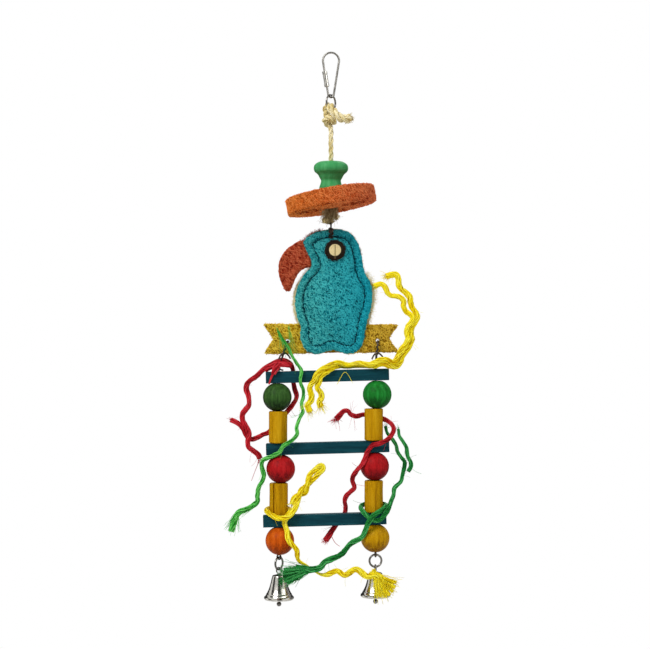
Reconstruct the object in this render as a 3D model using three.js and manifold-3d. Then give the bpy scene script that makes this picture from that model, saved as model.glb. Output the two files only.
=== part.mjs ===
// Hanging parrot toy of loofah, wood, rope and dyed sisal, with a ladder and two bells.
// Millimetres, +Z up, front towards -Y. The origin is the inner top of the screw link's bow.

import * as THREE from 'three';
import { mergeVertices } from 'three/addons/utils/BufferGeometryUtils.js';
import Module from 'manifold-3d';

const wasm = await Module();
wasm.setup();

// Clearances
const GAP = 0.3;
const RING_SEAT = 0.4;
const STACK_GAP = 0.4;
const WIRE_CLEARANCE = 0.4;
const TUNNEL_CLEARANCE = 0.5;

// Mesh fineness
const SAME_POINT = 1e-4;
const WIRE_SIDES = 6;
const ROUND_SIDES = 8;
const RING_SEGMENTS = 24;
const SMALL_RING_SEGMENTS = 12;
const BEAD_SEGMENTS = 18;
const BELL_SEGMENTS = 22;

// Screw link
const LINK_WIRE = 1.8;
const LINK_LENGTH = 38.9;
const LINK_BOW_RADIUS = 7;
const LINK_TIP_RADIUS = 2.4;
const NUT_LENGTH = 13.6;
const NUT_WIDTH = 4.3;
const NUT_DROP = 15.3;
const LINK_MOUTH = 5;
const NUT_GRIP = 2.9;

// Rings
const TOP_RING_OUTER = 15;
const TOP_RING_WIRE = 1.6;
const TOP_RING_TURN = 55;
const HEAD_RING_OUTER = 15.2;
const HEAD_RING_WIRE = 1.4;
const HEAD_RING_BITE = 2.7;

// Rope and its knots
const ROPE = 4.4;
const ROPE_RUN = 32.1;
const UPPER_KNOT_WIDTH = 11.7;
const UPPER_KNOT_HEIGHT = 11.4;
const ROPE_TAIL = 17;
const ROPE_TAIL_WIDTH = 5.3;
const ROPE_TAIL_RISE = 1;
const LOWER_KNOT_WIDTH = 16.6;
const LOWER_KNOT_DEPTH = 12;
const LOWER_KNOT_HEIGHT = 12.86;

// Spool
const SPOOL_HEIGHT = 24.6;
const SPOOL_CAP = 30;
const SPOOL_TOP = 17;
const SPOOL_WAIST = 17.3;
const SPOOL_FOOT = 20.2;
const SPOOL_BASE = 18.4;

// Loofah disc
const DISC_DIAMETER = 78;
const DISC_THICKNESS = 14.4;
const DISC_EDGE = 2;
const DISC_RIGHT_RAISED = 10;
const DISC_FRONT_RAISED = 2.5;

// Parrot, in the frame of its head hole
const HEAD_HOLE = 4.4;
const PARROT_MIDDLE = [1.7, -41.8];
const SEAM_TOP = [-24.5, -4.5];
const SEAM_BOTTOM = [-16.3, -24.6];
const PARROT_OUTLINE = [
  SEAM_TOP, [-17.6, 1.7], [-8.5, 5.3], [4.4, 6.7], [14.4, 4.7], [21.4, -1.8], [25.4, -10.8], [27.4, -22.8],
  [29.4, -31.8], [34.2, -39.8], [36, -49.8], [34.8, -60.7], [31.4, -72], [29.4, -81.8], [28.2, -90],
  [25.2, -96.7], [19.4, -100.7], [12.4, -101.2], [6.4, -99.4], [0.4, -97.2], [-5.6, -100], [-12.5, -101.7],
  [-19.6, -99.7], [-24.5, -93.7], [-26.3, -85.7], [-26.2, -77], [-29.6, -68.7], [-31.3, -58.7],
  [-30.5, -48.8], [-27.5, -39.8], [-22.5, -31.8], SEAM_BOTTOM, [-20.4, -14.5],
];
const OUTLINE_STEPS = 50;
const SEAM_GAP = 0.6;
const SEAM_INSET = 7;
const FLANGE_EDGE = 2.2;
const FLANGE_ROUND = 1;
const FLANGE = 3.6;
const GROOVE = 2.5;
const STITCH_DEPTH = 2.7;
const FRONT_SHOULDER = 5;
const FRONT_CROWN = 10.5;
const BACK_FLANGE = 3.2;
const BACK_SHOULDER = 4;
const BACK_CROWN = 7.5;
const BACK_OVERHANG = 1.8;
const NECK_START = 8;
const NECK_EASE = 12;
const CROWN_REACH = 28;
const CROWN_ROUND = 0.6;
const CHANNEL_COVER = 1.8;
const BULGE_MARGIN = 2;
const BULGE_EASE = 7;

// Beak, in the parrot's frame
const BEAK_MIDDLE = [-32, -20];
const BEAK_OUTLINE = [
  [-26, -3.4], [-33.5, -7.5], [-40.5, -13.8], [-44.7, -22.8], [-44.7, -32.8], [-42.5, -39.8], [-39.5, -45.8],
  [-36.6, -46.9], [-34.2, -42.8], [-31.5, -35.8], [-27.5, -29.8], [-22.5, -26.4],
];
const BEAK_EDGE = 1.5;
const BEAK_CROWN = 4.5;
const BEAK_STEPS = 32;

// Eye, in the parrot's frame
const EYE_PLACE = [3.5, -11.8];
const EYE_PATCH = 16;
const EYE_BUTTON = 10.4;
const EYE_SHEET = 1.6;

// Perch
const PERCH_LENGTH = 116;
const PERCH_LEFT_HEIGHT = 25.4;
const PERCH_RIGHT_HEIGHT = 23.2;
const PERCH_THICKNESS = 7;
const PERCH_NOTCH = 8.2;
const PERCH_EDGE = 1;
const PERCH_DROP = 88.4;
const PERCH_TILT = 0.3;
const PERCH_HOLE = 5.2;
const PERCH_HOLE_DROP = 2;
const LEFT_HOLE_X = -37.5;
const RIGHT_HOLE_X = 40.6;

// Ladder
const HANGER_WIRE = 1.4;
const LOOP_HEIGHT = 22.5;
const LOOP_WIDTH = 15.2;
const LOOP_SIDE = [[0.52, -0.85], [0.92, -0.62], [1, -0.36], [0.78, -0.05]];
const LOOP_STEP = 3.4;
const TWIST = 2.8;
const TWIST_LENGTH = 3;
const LEFT_COLUMN_X = -45.2;
const RIGHT_COLUMN_X = 38.7;
const LADDER_DROP = 30.4;
const RUNG_LENGTH = 107;
const RUNG_THICKNESS = 10;
const RUNG_TILT = 1.55;
const RUNG_MIDDLES = [-3.1, -2.9, -5.4];
const BALL = 25;
const BALL_HEIGHT = 23.7;
const BALL_FLAT = 7.9568;
const BALL_STEPS = 4;
const DOWEL = 16;
const DOWEL_LENGTH = 27.5;
const DOWEL_BEVEL = 0.6;
const BEAD_BORE = 5.2;

// How far each bead sits beside its column's wire, and the balls' colours, from the top down
const LEFT_BALLS = [[-1.5, 0x2f4f24], [1.5, 0xa81c28], [0.7, 0xc8560f]];
const RIGHT_BALLS = [[1.5, 0x22903f], [-0.7, 0xa81c28], [-0.3, 0xbf930b]];
const LEFT_DOWELS = [-0.8, -0.3];
const RIGHT_DOWELS = [-1.5, -1.5];

// Bells
const HANGER_EYE = 4;
const BELL_RING_OUTER = 12.4;
const BELL_RING_WIRE = 1.8;
const LEFT_RING_TURN = 55;
const RIGHT_RING_TURN = 10;
const LINK_SLACK = 0.15;
const BELL_MOUTH = 27;
const BELL_SHOULDER = 12;
const BELL_HEIGHT = 20.8;
const BELL_WALL = 0.9;
const BELL_FLARE = [[0, 0.06], [0.16, 0.3], [0.35, 0.54], [0.59, 0.73], [0.85, 0.89], [1, 0.97], [1, 1]];
const BELL_EYE = 5.4;
const BELL_EYE_WIRE = 1.2;
const BELL_COLLAR = 3.2;
const COLLAR_HEIGHT = 0.4;
const HOOK = 3;
const HOOK_WIRE = 1;
const CLAPPER_BALL = 4.2;
const CLAPPER_DROP = 25;

// Strands
const STRAND = 3.4;
const PLY = 3.2;
const STRAND_SIDES = 8;
const STEP_IN_DIAMETERS = 2.5;

// Strand routes, as [x, y, z] in the toy's frame
const STRANDS = [
  {
    name: 'strand_red_upper', colour: 0xb3172b, diameter: STRAND,
    route: [
      [-61.8, 0.5, -352.2], [-63.2, 0, -349], [-68.1, -1, -345], [-71.6, -2, -341.9], [-72.1, -2.5, -337],
      [-71.2, -2.5, -330.9], [-72.6, -2.5, -325.8], [-75.2, -2, -321.8], [-77.1, -1, -317.9],
      [-76.9, 0, -313.4], [-74.6, 0, -309.9], [-71.6, 0, -305.9], [-71.2, -1, -300.8], [-72.1, -1, -295.9],
      [-73.6, -1, -291.9], [-72.9, -1, -287.4], [-69.6, -2, -283.9], [-64.6, -2.5, -280.4],
      [-59.7, -2.5, -275.4], [-54.6, -2, -271.8], [-49, -1, -268.8], [-43.4, 0, -266.8], [-38.5, 2, -267.6],
      [-35, 5, -270.8], [-33.1, 8, -277], [-32.7, 8.2, -286.5], [-31.7, 6.5, -291.9], [-29.9, 5, -298.6],
      [-33.7, 7, -305.9], [-37.7, 9.3, -310.9], [-46.1, 10.5, -320.4], [-54.6, 9, -330], [-59.7, 6, -332],
      [-64.6, 4, -334.4], [-69.6, 3, -335.7], [-73, 2.5, -333.5], [-76.1, 2.5, -326.9], [-79.2, 2, -322.9],
      [-83.1, 1, -320.4], [-87.1, 0, -318.5],
    ],
  },
  {
    name: 'strand_green_left', colour: 0x3fb53f, diameter: STRAND,
    route: [
      [-46.1, -8, -240.8], [-41.6, -9, -248.7], [-36.5, -9.5, -256.1], [-34.2, -9, -261.8],
      [-29.7, -8, -269.2], [-25.7, -7.8, -275.4], [-26.3, -7.5, -281.7], [-26.3, -7.5, -286.3],
      [-24, -6, -292], [-24, -5, -298.8], [-25.7, -5, -304.5], [-24.5, -5, -311.3], [-26.8, -6, -315.8],
      [-29.7, -8, -324.9], [-29.1, -9, -330], [-32.2, -9.5, -334.4], [-37.1, -9.5, -337.9],
      [-41.7, -9.6, -341], [-44.6, -8.5, -345.9], [-48.6, -7.4, -348.4], [-54.6, -7, -351],
      [-58.6, -6.5, -353], [-60.1, -5, -357], [-59.2, -5, -361.9], [-58.1, -6, -366.4], [-59.7, -5, -371.4],
      [-62.6, -4, -376.4], [-63.9, -3, -384.4], [-63.9, -2, -389.3], [-68.9, -2, -393.8],
      [-74.5, -2, -396.5], [-78.9, -2, -398.2], [-82.2, -2, -401.6], [-84.5, -2, -407.1],
      [-86.7, -2, -415.4],
    ],
  },
  {
    name: 'strand_yellow_tail', colour: 0xefd90f, diameter: PLY,
    route: [
      [37.6, 0, -202.4], [40.3, 0, -200.9], [44.2, -0.5, -200.4], [47.3, -1, -203.6], [48.8, -1, -207.4],
      [51.9, -1, -210.5], [56.6, -1, -211], [60.9, -1, -212.5], [63.2, -1, -215.6], [63, -1, -219.8],
      [65.2, -1, -224.1], [69.5, -1, -227.3], [71.2, -1, -230], [69.6, -1, -233.9], [66.9, -1, -237.8],
      [65.8, -1, -242.7], [67.2, -1, -247.3],
    ],
  },
  {
    name: 'strand_yellow_tail_end', colour: 0xefd90f, diameter: PLY,
    route: [
      [48, 0, -193.8], [51.9, 0, -192.7], [56.6, 0, -192.3], [58.6, 0, -195.8], [59, 0, -200.9],
      [60.9, 0.5, -204.7], [64.7, 1, -207.4], [68.6, 1, -211.8], [69.4, 1, -216.8], [70.6, 1, -220.6],
      [73.4, 1, -224.5], [75, 1, -229.2], [73, 1, -233.9], [70.4, 1, -237.8], [69.3, 1, -242.7],
      [70.7, 1, -247.5],
    ],
  },
  {
    name: 'strand_yellow_upper', colour: 0xefd90f, diameter: PLY,
    route: [
      [67.3, -1, -249], [64.8, -1.4, -253], [61.4, -2.2, -257.2], [58.4, -3.6, -262], [56.4, -5, -266.2],
      [54.5, -6.2, -268.1], [52.5, -7.4, -268.4], [50.2, -8.6, -267.4], [46.2, -9.2, -266],
      [42.2, -9.4, -266.4], [38.4, -9.2, -268.2], [34, -7.6, -270.2], [28.4, -4.8, -269.4],
      [24.6, -3, -268.6], [20, -2, -269.8], [15.8, -1.8, -270.8], [10.8, -1.8, -269.8],
      [7.8, -3.4, -268.8], [2.6, -6.8, -269.4], [-3.1, -9.6, -271.8], [-8.4, -9.6, -274.8],
      [-12.8, -9.4, -279.7], [-14.4, -9, -284], [-18, -7.5, -288.8], [-18.4, -6.5, -292.1],
      [-17, -5.5, -297.1], [-17.3, -5, -301.5], [-20, -5, -305.1], [-18.4, -5, -311.4],
    ],
  },
  {
    name: 'strand_yellow_upper_ply', colour: 0xefd90f, diameter: PLY,
    route: [
      [70.7, 1, -249.4], [67.4, 1, -255.6], [63.8, 0.4, -259.9], [61.7, -0.8, -263.6], [60, -2.2, -268.4],
      [56.6, -4.2, -272], [52, -6.6, -272], [48.9, -7.8, -271], [46.2, -8.2, -270.2], [42.2, -8, -270.4],
      [39.4, -7, -271.6], [35, -3.8, -272.2], [28.4, 0.4, -271.8], [24.6, 1.4, -271.6], [20, 1.8, -271.8],
      [15.8, 2, -272.2], [10.8, 1.8, -272], [7.8, 0.6, -271.8], [3.4, -4.6, -272.7], [-0.9, -7.7, -274.9],
      [-6.4, -7.6, -278], [-9.2, -7.6, -281.1], [-10.2, -7.6, -285.6], [-12.2, -7.5, -289.8],
      [-8.9, -6, -294.8], [-8, -5, -298.1], [-10, -5, -303.1], [-8.7, -5, -307.1],
    ],
  },
  {
    name: 'strand_red_right', colour: 0xb3172b, diameter: STRAND,
    route: [
      [4.3, 0, -317.9], [7.3, 0, -314.9], [11.2, 0, -310.9], [14.8, 1, -310.9], [17.2, 2, -313.9],
      [22.7, 4, -315.6], [28.3, 8.5, -314.4], [36.5, 10.4, -316.1], [45.2, 8.5, -317.9], [49.7, 4, -319.9],
      [53.7, 0, -323.4], [54.2, -4, -327.9], [51.7, -7, -332.4], [47.2, -9.5, -335.9],
      [41.2, -10.4, -338.6], [36.2, -8.5, -339.8], [33.2, -7.4, -343.4], [30.7, -7.8, -347.9],
      [28.7, -9.7, -352.9], [25.8, -9.2, -357.8], [21.8, -8, -362.4], [19.2, -6, -366.9],
      [18.5, -3, -370.9], [20.3, 0, -377.7], [17.2, 1, -381.1], [13.7, 3, -384.6], [12, 5, -389.7],
      [12.8, 7.8, -395.2], [12, 8.4, -400.5], [9.5, 8.2, -405], [4.8, 7.8, -410.6], [0.5, 5, -416.4],
      [-4.9, 3, -423.8],
    ],
  },
  {
    name: 'strand_green_right', colour: 0x1f7f33, diameter: STRAND,
    route: [
      [47.6, 4.5, -324.5], [49, 2.5, -330], [54.2, 1, -336.3], [56.7, 0, -340.9], [57.7, 0, -345.9],
      [61.2, 0, -351.4], [64, 0, -355.4], [62.2, 0, -366.9], [60.7, -1, -372.2], [55.2, -3, -377.7],
      [54.2, -5, -383.1], [51.7, -7, -389.2], [49.2, -9.2, -395.5], [46.3, -10.5, -400],
      [41.8, -10.7, -404.2], [37.2, -10.7, -404.4], [31.8, -10.5, -401.5], [27.5, -7.5, -397],
      [26, 0, -394.5], [29, 7.7, -393], [37.2, 10.6, -392], [45.5, 7.7, -392.6], [48.2, 2, -393],
      [46.8, -4.4, -394.2], [43.5, -9, -396.2], [39, -12.7, -398.5], [35, -14.5, -401.5],
      [32.5, -14.2, -405.6], [29.6, -11.5, -413], [26.7, -10, -419.1], [16.8, -9, -425.1],
      [9.2, -11, -433.6], [0.5, -12, -437.8], [-5.7, -13, -440.5], [-9.2, -14.4, -444.7],
      [-16.2, -15.4, -446.7], [-22, -16, -447.1], [-27.8, -16, -444.4], [-32, -16.3, -446.5],
    ],
  },
  {
    name: 'strand_green_right_ply', colour: 0x1f7f33, diameter: STRAND,
    route: [
      [58.4, -6.5, -326.4], [59, -5, -331.9], [62.2, -4, -336.9], [65.2, -4, -341.9], [65.9, -4, -346.9],
      [67, -3, -350.9], [69.4, -2, -355.4], [69.2, -1.5, -359.4], [67, -1, -363.3],
    ],
  },
  {
    name: 'strand_yellow_lower', colour: 0xefd90f, diameter: PLY,
    route: [
      [-34, -6, -391.5], [-32.3, -5, -386.3], [-27.3, -2, -383.5], [-22.3, -4, -381.6],
      [-20.8, -6, -375.5], [-18.8, -4, -366.7], [-14, -4, -361.6], [-8, -4, -357.6], [-6.4, -4, -360.6],
      [-11, -4, -365], [-15, -4, -369.5], [-21, -2, -375.5], [-25.8, -4, -378.9], [-27.3, -6, -383.5],
      [-28.7, -6.4, -388.8], [-33.5, -10.4, -398.5], [-38.3, -11.4, -401.8], [-46.1, -11.2, -402.6],
      [-50.8, -9.6, -400.5], [-54.7, -5, -398.2], [-56.2, 0, -397.2], [-53.5, 6.8, -396.5],
      [-45.5, 10.4, -396.2], [-37.8, 7, -396.8], [-35.2, 1, -397.4], [-35.6, -4.6, -398.4],
      [-37.4, -7.3, -400.6], [-40.3, -7.3, -406.5], [-38, -9.2, -413.7], [-36.4, -12.2, -421.5],
      [-29.8, -11.2, -430], [-28.2, -11.5, -438.9], [-19.7, -11, -444.2], [-10.4, -11, -450.6],
      [-4.5, -12, -451.4], [5.4, -14, -447.8], [11.7, -15, -451.2], [21.6, -16, -446.1],
      [30.8, -16.2, -452], [39.9, -16.3, -450.7], [43.2, -16.3, -453.3],
    ],
  },
];

// Places worked out from the driving dimensions, down the toy
const linkTipZ = LINK_WIRE / 2 - LINK_LENGTH;
const topRingRadius = (TOP_RING_OUTER - TOP_RING_WIRE) / 2;
const topRingZ = linkTipZ + (LINK_WIRE + TOP_RING_WIRE) / 2 + RING_SEAT - topRingRadius;
const topRingBottomZ = topRingZ - topRingRadius;
const loopRise = (ROPE + TOP_RING_WIRE) / 2 + GAP;
const upperKnotZ = topRingBottomZ - TOP_RING_WIRE / 2 - GAP - UPPER_KNOT_HEIGHT / 2;
const spoolTopZ = upperKnotZ - UPPER_KNOT_HEIGHT / 2 - ROPE_RUN;
const spoolBottomZ = spoolTopZ - SPOOL_HEIGHT;

const discTurn = new THREE.Euler(radians(-DISC_FRONT_RAISED), radians(-DISC_RIGHT_RAISED), 0);
const discNormal = new THREE.Vector3(0, 0, 1).applyEuler(discTurn);
const discSlope = Math.hypot(discNormal.x, discNormal.y) / discNormal.z;
const discZ = spoolBottomZ - GAP - DISC_THICKNESS / 2 / discNormal.z - SPOOL_BASE / 2 * discSlope;
const discBore = (ROPE / 2 + GAP) / discNormal.z + DISC_THICKNESS / 2 * discSlope + GAP;
const lowerKnotReach = Math.hypot(
  LOWER_KNOT_WIDTH / 2 * discNormal.x,
  LOWER_KNOT_DEPTH / 2 * discNormal.y,
  LOWER_KNOT_HEIGHT / 2 * discNormal.z,
);
const lowerKnotZ = discZ - (DISC_THICKNESS / 2 + GAP + lowerKnotReach) / discNormal.z;

const headRingRadius = (HEAD_RING_OUTER - HEAD_RING_WIRE) / 2;
const headRingZ = lowerKnotZ - LOWER_KNOT_HEIGHT / 2 + HEAD_RING_BITE - headRingRadius;
const parrotZ = headRingZ - headRingRadius;
const perchHoleZ = -PERCH_DROP - PERCH_HOLE_DROP;
const ladderZ = parrotZ + perchHoleZ;

const rungSlope = Math.tan(radians(RUNG_TILT));
const rungRise = RUNG_THICKNESS / Math.cos(radians(RUNG_TILT));
const rungPitch = rungRise + BALL_HEIGHT + DOWEL_LENGTH + 3 * STACK_GAP;
const ladderMiddleX = (LEFT_COLUMN_X + RIGHT_COLUMN_X) / 2;

function radians(degrees) {
  return THREE.MathUtils.degToRad(degrees);
}

// Height of a rung's middle at a place along it, in the ladder's frame
function rungZ(row, x) {
  return -LADDER_DROP - row * rungPitch + (x - ladderMiddleX) * rungSlope;
}

// A bare geometry with shared points, no empty triangles and its faces pointing out
function tidy(geometry) {
  const bare = new THREE.BufferGeometry();
  bare.setAttribute('position', geometry.getAttribute('position'));
  bare.setIndex(geometry.index);
  const merged = mergeVertices(bare, SAME_POINT);
  const corners = merged.index.array;
  const place = merged.getAttribute('position');
  const [a, b, c] = [new THREE.Vector3(), new THREE.Vector3(), new THREE.Vector3()];
  const faces = [];
  let volume = 0;
  for (let i = 0; i < corners.length; i += 3) {
    const [p, q, r] = corners.slice(i, i + 3);
    if (p === q || q === r || r === p) continue;
    faces.push([p, q, r]);
    a.fromBufferAttribute(place, p);
    b.fromBufferAttribute(place, q);
    c.fromBufferAttribute(place, r);
    volume += a.dot(b.cross(c));
  }
  const outward = volume > 0 ? faces : faces.map(([p, q, r]) => [p, r, q]);
  merged.setIndex(outward.flat());
  return merged;
}

function solidOf(geometry) {
  const clean = tidy(geometry);
  return new wasm.Manifold(new wasm.Mesh({
    numProp: 3,
    vertProperties: new Float32Array(clean.getAttribute('position').array),
    triVerts: new Uint32Array(clean.index.array),
  }));
}

function geometryOf(solid) {
  const mesh = solid.getMesh();
  const geometry = new THREE.BufferGeometry();
  geometry.setAttribute('position', new THREE.BufferAttribute(new Float32Array(mesh.vertProperties), 3));
  geometry.setIndex(Array.from(mesh.triVerts));
  return geometry;
}

function join(first, ...others) {
  return geometryOf(others.reduce((whole, next) => whole.add(solidOf(next)), solidOf(first)));
}

function cut(body, ...tools) {
  return geometryOf(tools.reduce((whole, tool) => whole.subtract(solidOf(tool)), solidOf(body)));
}

// A body turned about Z from a profile of [radius, z] points
function turned(profile, segments) {
  const points = profile.map(([radius, z]) => new THREE.Vector2(radius, z));
  return tidy(new THREE.LatheGeometry(points, segments)).rotateX(Math.PI / 2);
}

// A turned body whose profile closes on itself round a bore
function turnedRing(profile, segments) {
  return turned([...profile, profile[0]], segments);
}

// A ring of round wire in the XZ plane
function wireRing(radius, wire, segments) {
  return tidy(new THREE.TorusGeometry(radius, wire / 2, WIRE_SIDES, segments)).rotateX(Math.PI / 2);
}

// A round lump of a width, depth and height at a height
function ball(width, depth, height, z) {
  const sphere = new THREE.SphereGeometry(0.5, 2 * ROUND_SIDES, ROUND_SIDES).rotateX(Math.PI / 2);
  return sphere.scale(width, depth, height).translate(0, 0, z);
}

// A round bar along Y
function crossBar(diameter, length, x, z) {
  return new THREE.CylinderGeometry(diameter / 2, diameter / 2, length, 16).translate(x, 0, z);
}

// A round bar along Z between two heights
function uprightBar(diameter, bottom, top, sides) {
  const bar = new THREE.CylinderGeometry(diameter / 2, diameter / 2, top - bottom, sides);
  return bar.rotateX(Math.PI / 2).translate(0, 0, (bottom + top) / 2);
}

// A round tube along a curve
function tube(curve, diameter, sides, step) {
  const section = new THREE.Shape();
  section.setFromPoints(Array.from({ length: sides }, (_, i) => {
    const angle = 2 * Math.PI * i / sides;
    return new THREE.Vector2(Math.cos(angle), Math.sin(angle)).multiplyScalar(diameter / 2);
  }));
  const steps = Math.ceil(curve.getLength() / step);
  return tidy(new THREE.ExtrudeGeometry(section, { steps, bevelEnabled: false, extrudePath: curve }));
}

function curveThrough(points) {
  return new THREE.CatmullRomCurve3(points.map((point) => new THREE.Vector3(...point)));
}

// A closed skin over rings of points, with a middle point at each end
function skin(firstMiddle, rings, lastMiddle) {
  const count = rings[0].length;
  const points = [firstMiddle, ...rings.flat(), lastMiddle];
  const last = points.length - 1;
  const faces = [];
  for (let i = 0; i < count; i += 1) {
    const next = (i + 1) % count;
    faces.push(0, 1 + i, 1 + next);
    for (let ring = 0; ring < rings.length - 1; ring += 1) {
      const here = 1 + ring * count;
      const there = here + count;
      faces.push(here + i, there + i, there + next, here + i, there + next, here + next);
    }
    const end = 1 + (rings.length - 1) * count;
    faces.push(last, end + next, end + i);
  }
  const geometry = new THREE.BufferGeometry();
  geometry.setAttribute('position', new THREE.Float32BufferAttribute(points.flat(), 3));
  geometry.setIndex(faces);
  return tidy(geometry);
}

// Points evenly along a closed smooth outline of [x, z] points
function smoothOutline(points, steps) {
  const flat = points.map(([x, z]) => new THREE.Vector3(x, 0, z));
  const curve = new THREE.CatmullRomCurve3(flat, true, 'centripetal');
  return curve.getSpacedPoints(steps).slice(0, steps).map((point) => [point.x, point.z]);
}

// An outline drawn in towards a middle, first by a length and then by a share of what is left
function drawnIn(outline, middle, inset, share) {
  return outline.map(([x, z]) => {
    const reach = Math.hypot(x - middle[0], z - middle[1]);
    const scale = (reach - inset) / reach * share;
    return [middle[0] + (x - middle[0]) * scale, middle[1] + (z - middle[1]) * scale];
  });
}

function distanceToOutline(outline, x, z) {
  let least = Infinity;
  outline.forEach(([x1, z1], i) => {
    const [x2, z2] = outline[(i + 1) % outline.length];
    const along = ((x - x1) * (x2 - x1) + (z - z1) * (z2 - z1)) / ((x2 - x1) ** 2 + (z2 - z1) ** 2);
    const t = THREE.MathUtils.clamp(along, 0, 1);
    least = Math.min(least, Math.hypot(x - x1 - t * (x2 - x1), z - z1 - t * (z2 - z1)));
  });
  return least;
}

// The height read from a table of [distance, height] rows
function heightAt(table, distance) {
  const row = table.findIndex(([reach]) => reach >= distance);
  if (row < 0) return table[table.length - 1][1];
  if (row === 0) return table[0][1];
  const [from, low] = table[row - 1];
  const [to, high] = table[row];
  return low + (high - low) * (distance - from) / (to - from);
}

function piece(name, geometry, colour, roughness, metalness) {
  const material = new THREE.MeshStandardMaterial({ color: colour, roughness, metalness });
  const mesh = new THREE.Mesh(geometry, material);
  mesh.name = name;
  return mesh;
}

function steel(name, geometry) {
  return piece(name, geometry, 0xb9bcc0, 0.25, 1);
}

function wood(name, geometry, colour) {
  return piece(name, geometry, colour, 0.55, 0);
}

function loofah(name, geometry, colour) {
  return piece(name, geometry, colour, 0.95, 0);
}

// Screw link: a pear of wire with a mouth in its left leg, closed by the sleeve nut
function screwLink() {
  const bowZ = LINK_WIRE / 2 - LINK_BOW_RADIUS;
  const tipZ = linkTipZ + LINK_TIP_RADIUS;
  const lean = Math.asin((LINK_BOW_RADIUS - LINK_TIP_RADIUS) / (bowZ - tipZ));
  const legX = (z) => -(LINK_BOW_RADIUS * Math.cos(lean)
    - (bowZ - LINK_BOW_RADIUS * Math.sin(lean) - z) * Math.tan(lean));
  const nutBottomZ = -NUT_DROP - NUT_LENGTH * Math.cos(lean);
  const lowerEndZ = nutBottomZ + NUT_GRIP;
  const upperEndZ = lowerEndZ + LINK_MOUTH;
  const arc = (radius, z, from, to, count) => Array.from({ length: count }, (_, i) => {
    const angle = from + (to - from) * i / (count - 1);
    return new THREE.Vector3(radius * Math.cos(angle), 0, z + radius * Math.sin(angle));
  });
  const path = new THREE.CurvePath();
  const points = [
    new THREE.Vector3(legX(upperEndZ), 0, upperEndZ),
    ...arc(LINK_BOW_RADIUS, bowZ, Math.PI + lean, -lean, 13),
    ...arc(LINK_TIP_RADIUS, tipZ, -lean, -Math.PI + lean, 9),
    new THREE.Vector3(legX(lowerEndZ), 0, lowerEndZ),
  ];
  points.slice(1).forEach((point, i) => path.add(new THREE.LineCurve3(points[i], point)));
  const wire = tube(path, LINK_WIRE, 8, LINK_WIRE * 0.9);

  const bore = LINK_WIRE / 2 + GAP;
  const half = NUT_LENGTH / 2;
  const bevel = (NUT_WIDTH - LINK_WIRE) / 8;
  const sleeve = turnedRing([
    [bore, half], [NUT_WIDTH / 2 - bevel, half], [NUT_WIDTH / 2, half - bevel],
    [NUT_WIDTH / 2, bevel - half], [NUT_WIDTH / 2 - bevel, -half], [bore, -half],
  ], 12);
  const nut = steel('link_nut', sleeve);
  const nutZ = (nutBottomZ - NUT_DROP) / 2;
  nut.position.set(legX(nutZ), 0, nutZ);
  nut.rotation.y = -lean;
  return [steel('pear_link', wire), nut];
}

// Ring in the link's tip
function topRing() {
  const ring = steel('top_ring', wireRing(topRingRadius, TOP_RING_WIRE, RING_SEGMENTS));
  ring.position.z = topRingZ;
  ring.rotation.z = radians(TOP_RING_TURN);
  return ring;
}

// Rope: a loop on the ring, a knot with a tail, the run through the beads and the lower knot
function hangingRope() {
  const across = new THREE.Vector3(-Math.sin(radians(TOP_RING_TURN)), Math.cos(radians(TOP_RING_TURN)), 0);
  const onLoop = (side, z) => across.clone().multiplyScalar(side * loopRise).setZ(z);
  const loop = tube(new THREE.CatmullRomCurve3([
    onLoop(0.6, upperKnotZ), onLoop(0.9, upperKnotZ + UPPER_KNOT_HEIGHT * 0.35), onLoop(1, topRingBottomZ),
    onLoop(0.7, topRingBottomZ + loopRise * 0.72), onLoop(0, topRingBottomZ + loopRise),
    onLoop(-0.7, topRingBottomZ + loopRise * 0.72), onLoop(-1, topRingBottomZ),
    onLoop(-0.9, upperKnotZ + UPPER_KNOT_HEIGHT * 0.35), onLoop(-0.6, upperKnotZ),
  ]), ROPE, ROUND_SIDES, ROPE / 2);
  const upperKnot = ball(UPPER_KNOT_WIDTH, UPPER_KNOT_WIDTH, UPPER_KNOT_HEIGHT, upperKnotZ);
  const tail = tube(curveThrough([
    [0, 0, upperKnotZ],
    [ROPE_TAIL / 2, -ROPE / 3, upperKnotZ],
    [ROPE_TAIL, -ROPE / 3, upperKnotZ + ROPE_TAIL_RISE],
  ]), ROPE_TAIL_WIDTH, ROUND_SIDES, ROPE);
  const run = uprightBar(ROPE, lowerKnotZ, upperKnotZ, ROUND_SIDES);
  const lowerKnot = ball(LOWER_KNOT_WIDTH, LOWER_KNOT_DEPTH, LOWER_KNOT_HEIGHT, lowerKnotZ);
  const tunnel = wireRing(headRingRadius, HEAD_RING_WIRE + 2 * TUNNEL_CLEARANCE, RING_SEGMENTS)
    .rotateZ(Math.PI / 2).translate(0, 0, headRingZ);
  const rope = cut(join(run, loop, upperKnot, tail, lowerKnot), tunnel);
  return piece('hanging_rope', rope, 0xe3cd86, 0.9, 0);
}

// Turned wooden spool with a wide domed cap, a waist and a foot
function spool() {
  const bore = ROPE / 2 + GAP;
  const [top, cap, waist] = [SPOOL_TOP / 2, SPOOL_CAP / 2, SPOOL_WAIST / 2];
  const [foot, base] = [SPOOL_FOOT / 2, SPOOL_BASE / 2];
  const profile = [
    [bore, 0], [top, 0], [cap * 0.83, 0.055], [cap * 0.96, 0.13], [cap, 0.25], [cap * 0.95, 0.35],
    [cap * 0.76, 0.46], [(cap * 0.2 + waist * 0.8), 0.57], [waist, 0.67], [waist * 1.03, 0.75],
    [foot * 0.95, 0.84], [foot, 0.9], [foot, 0.95], [base, 1], [bore, 1],
  ].map(([radius, share]) => [radius, -share * SPOOL_HEIGHT]);
  const bead = wood('spool_bead', turnedRing(profile, RING_SEGMENTS), 0x2b8b46);
  bead.position.z = spoolTopZ;
  return bead;
}

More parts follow.
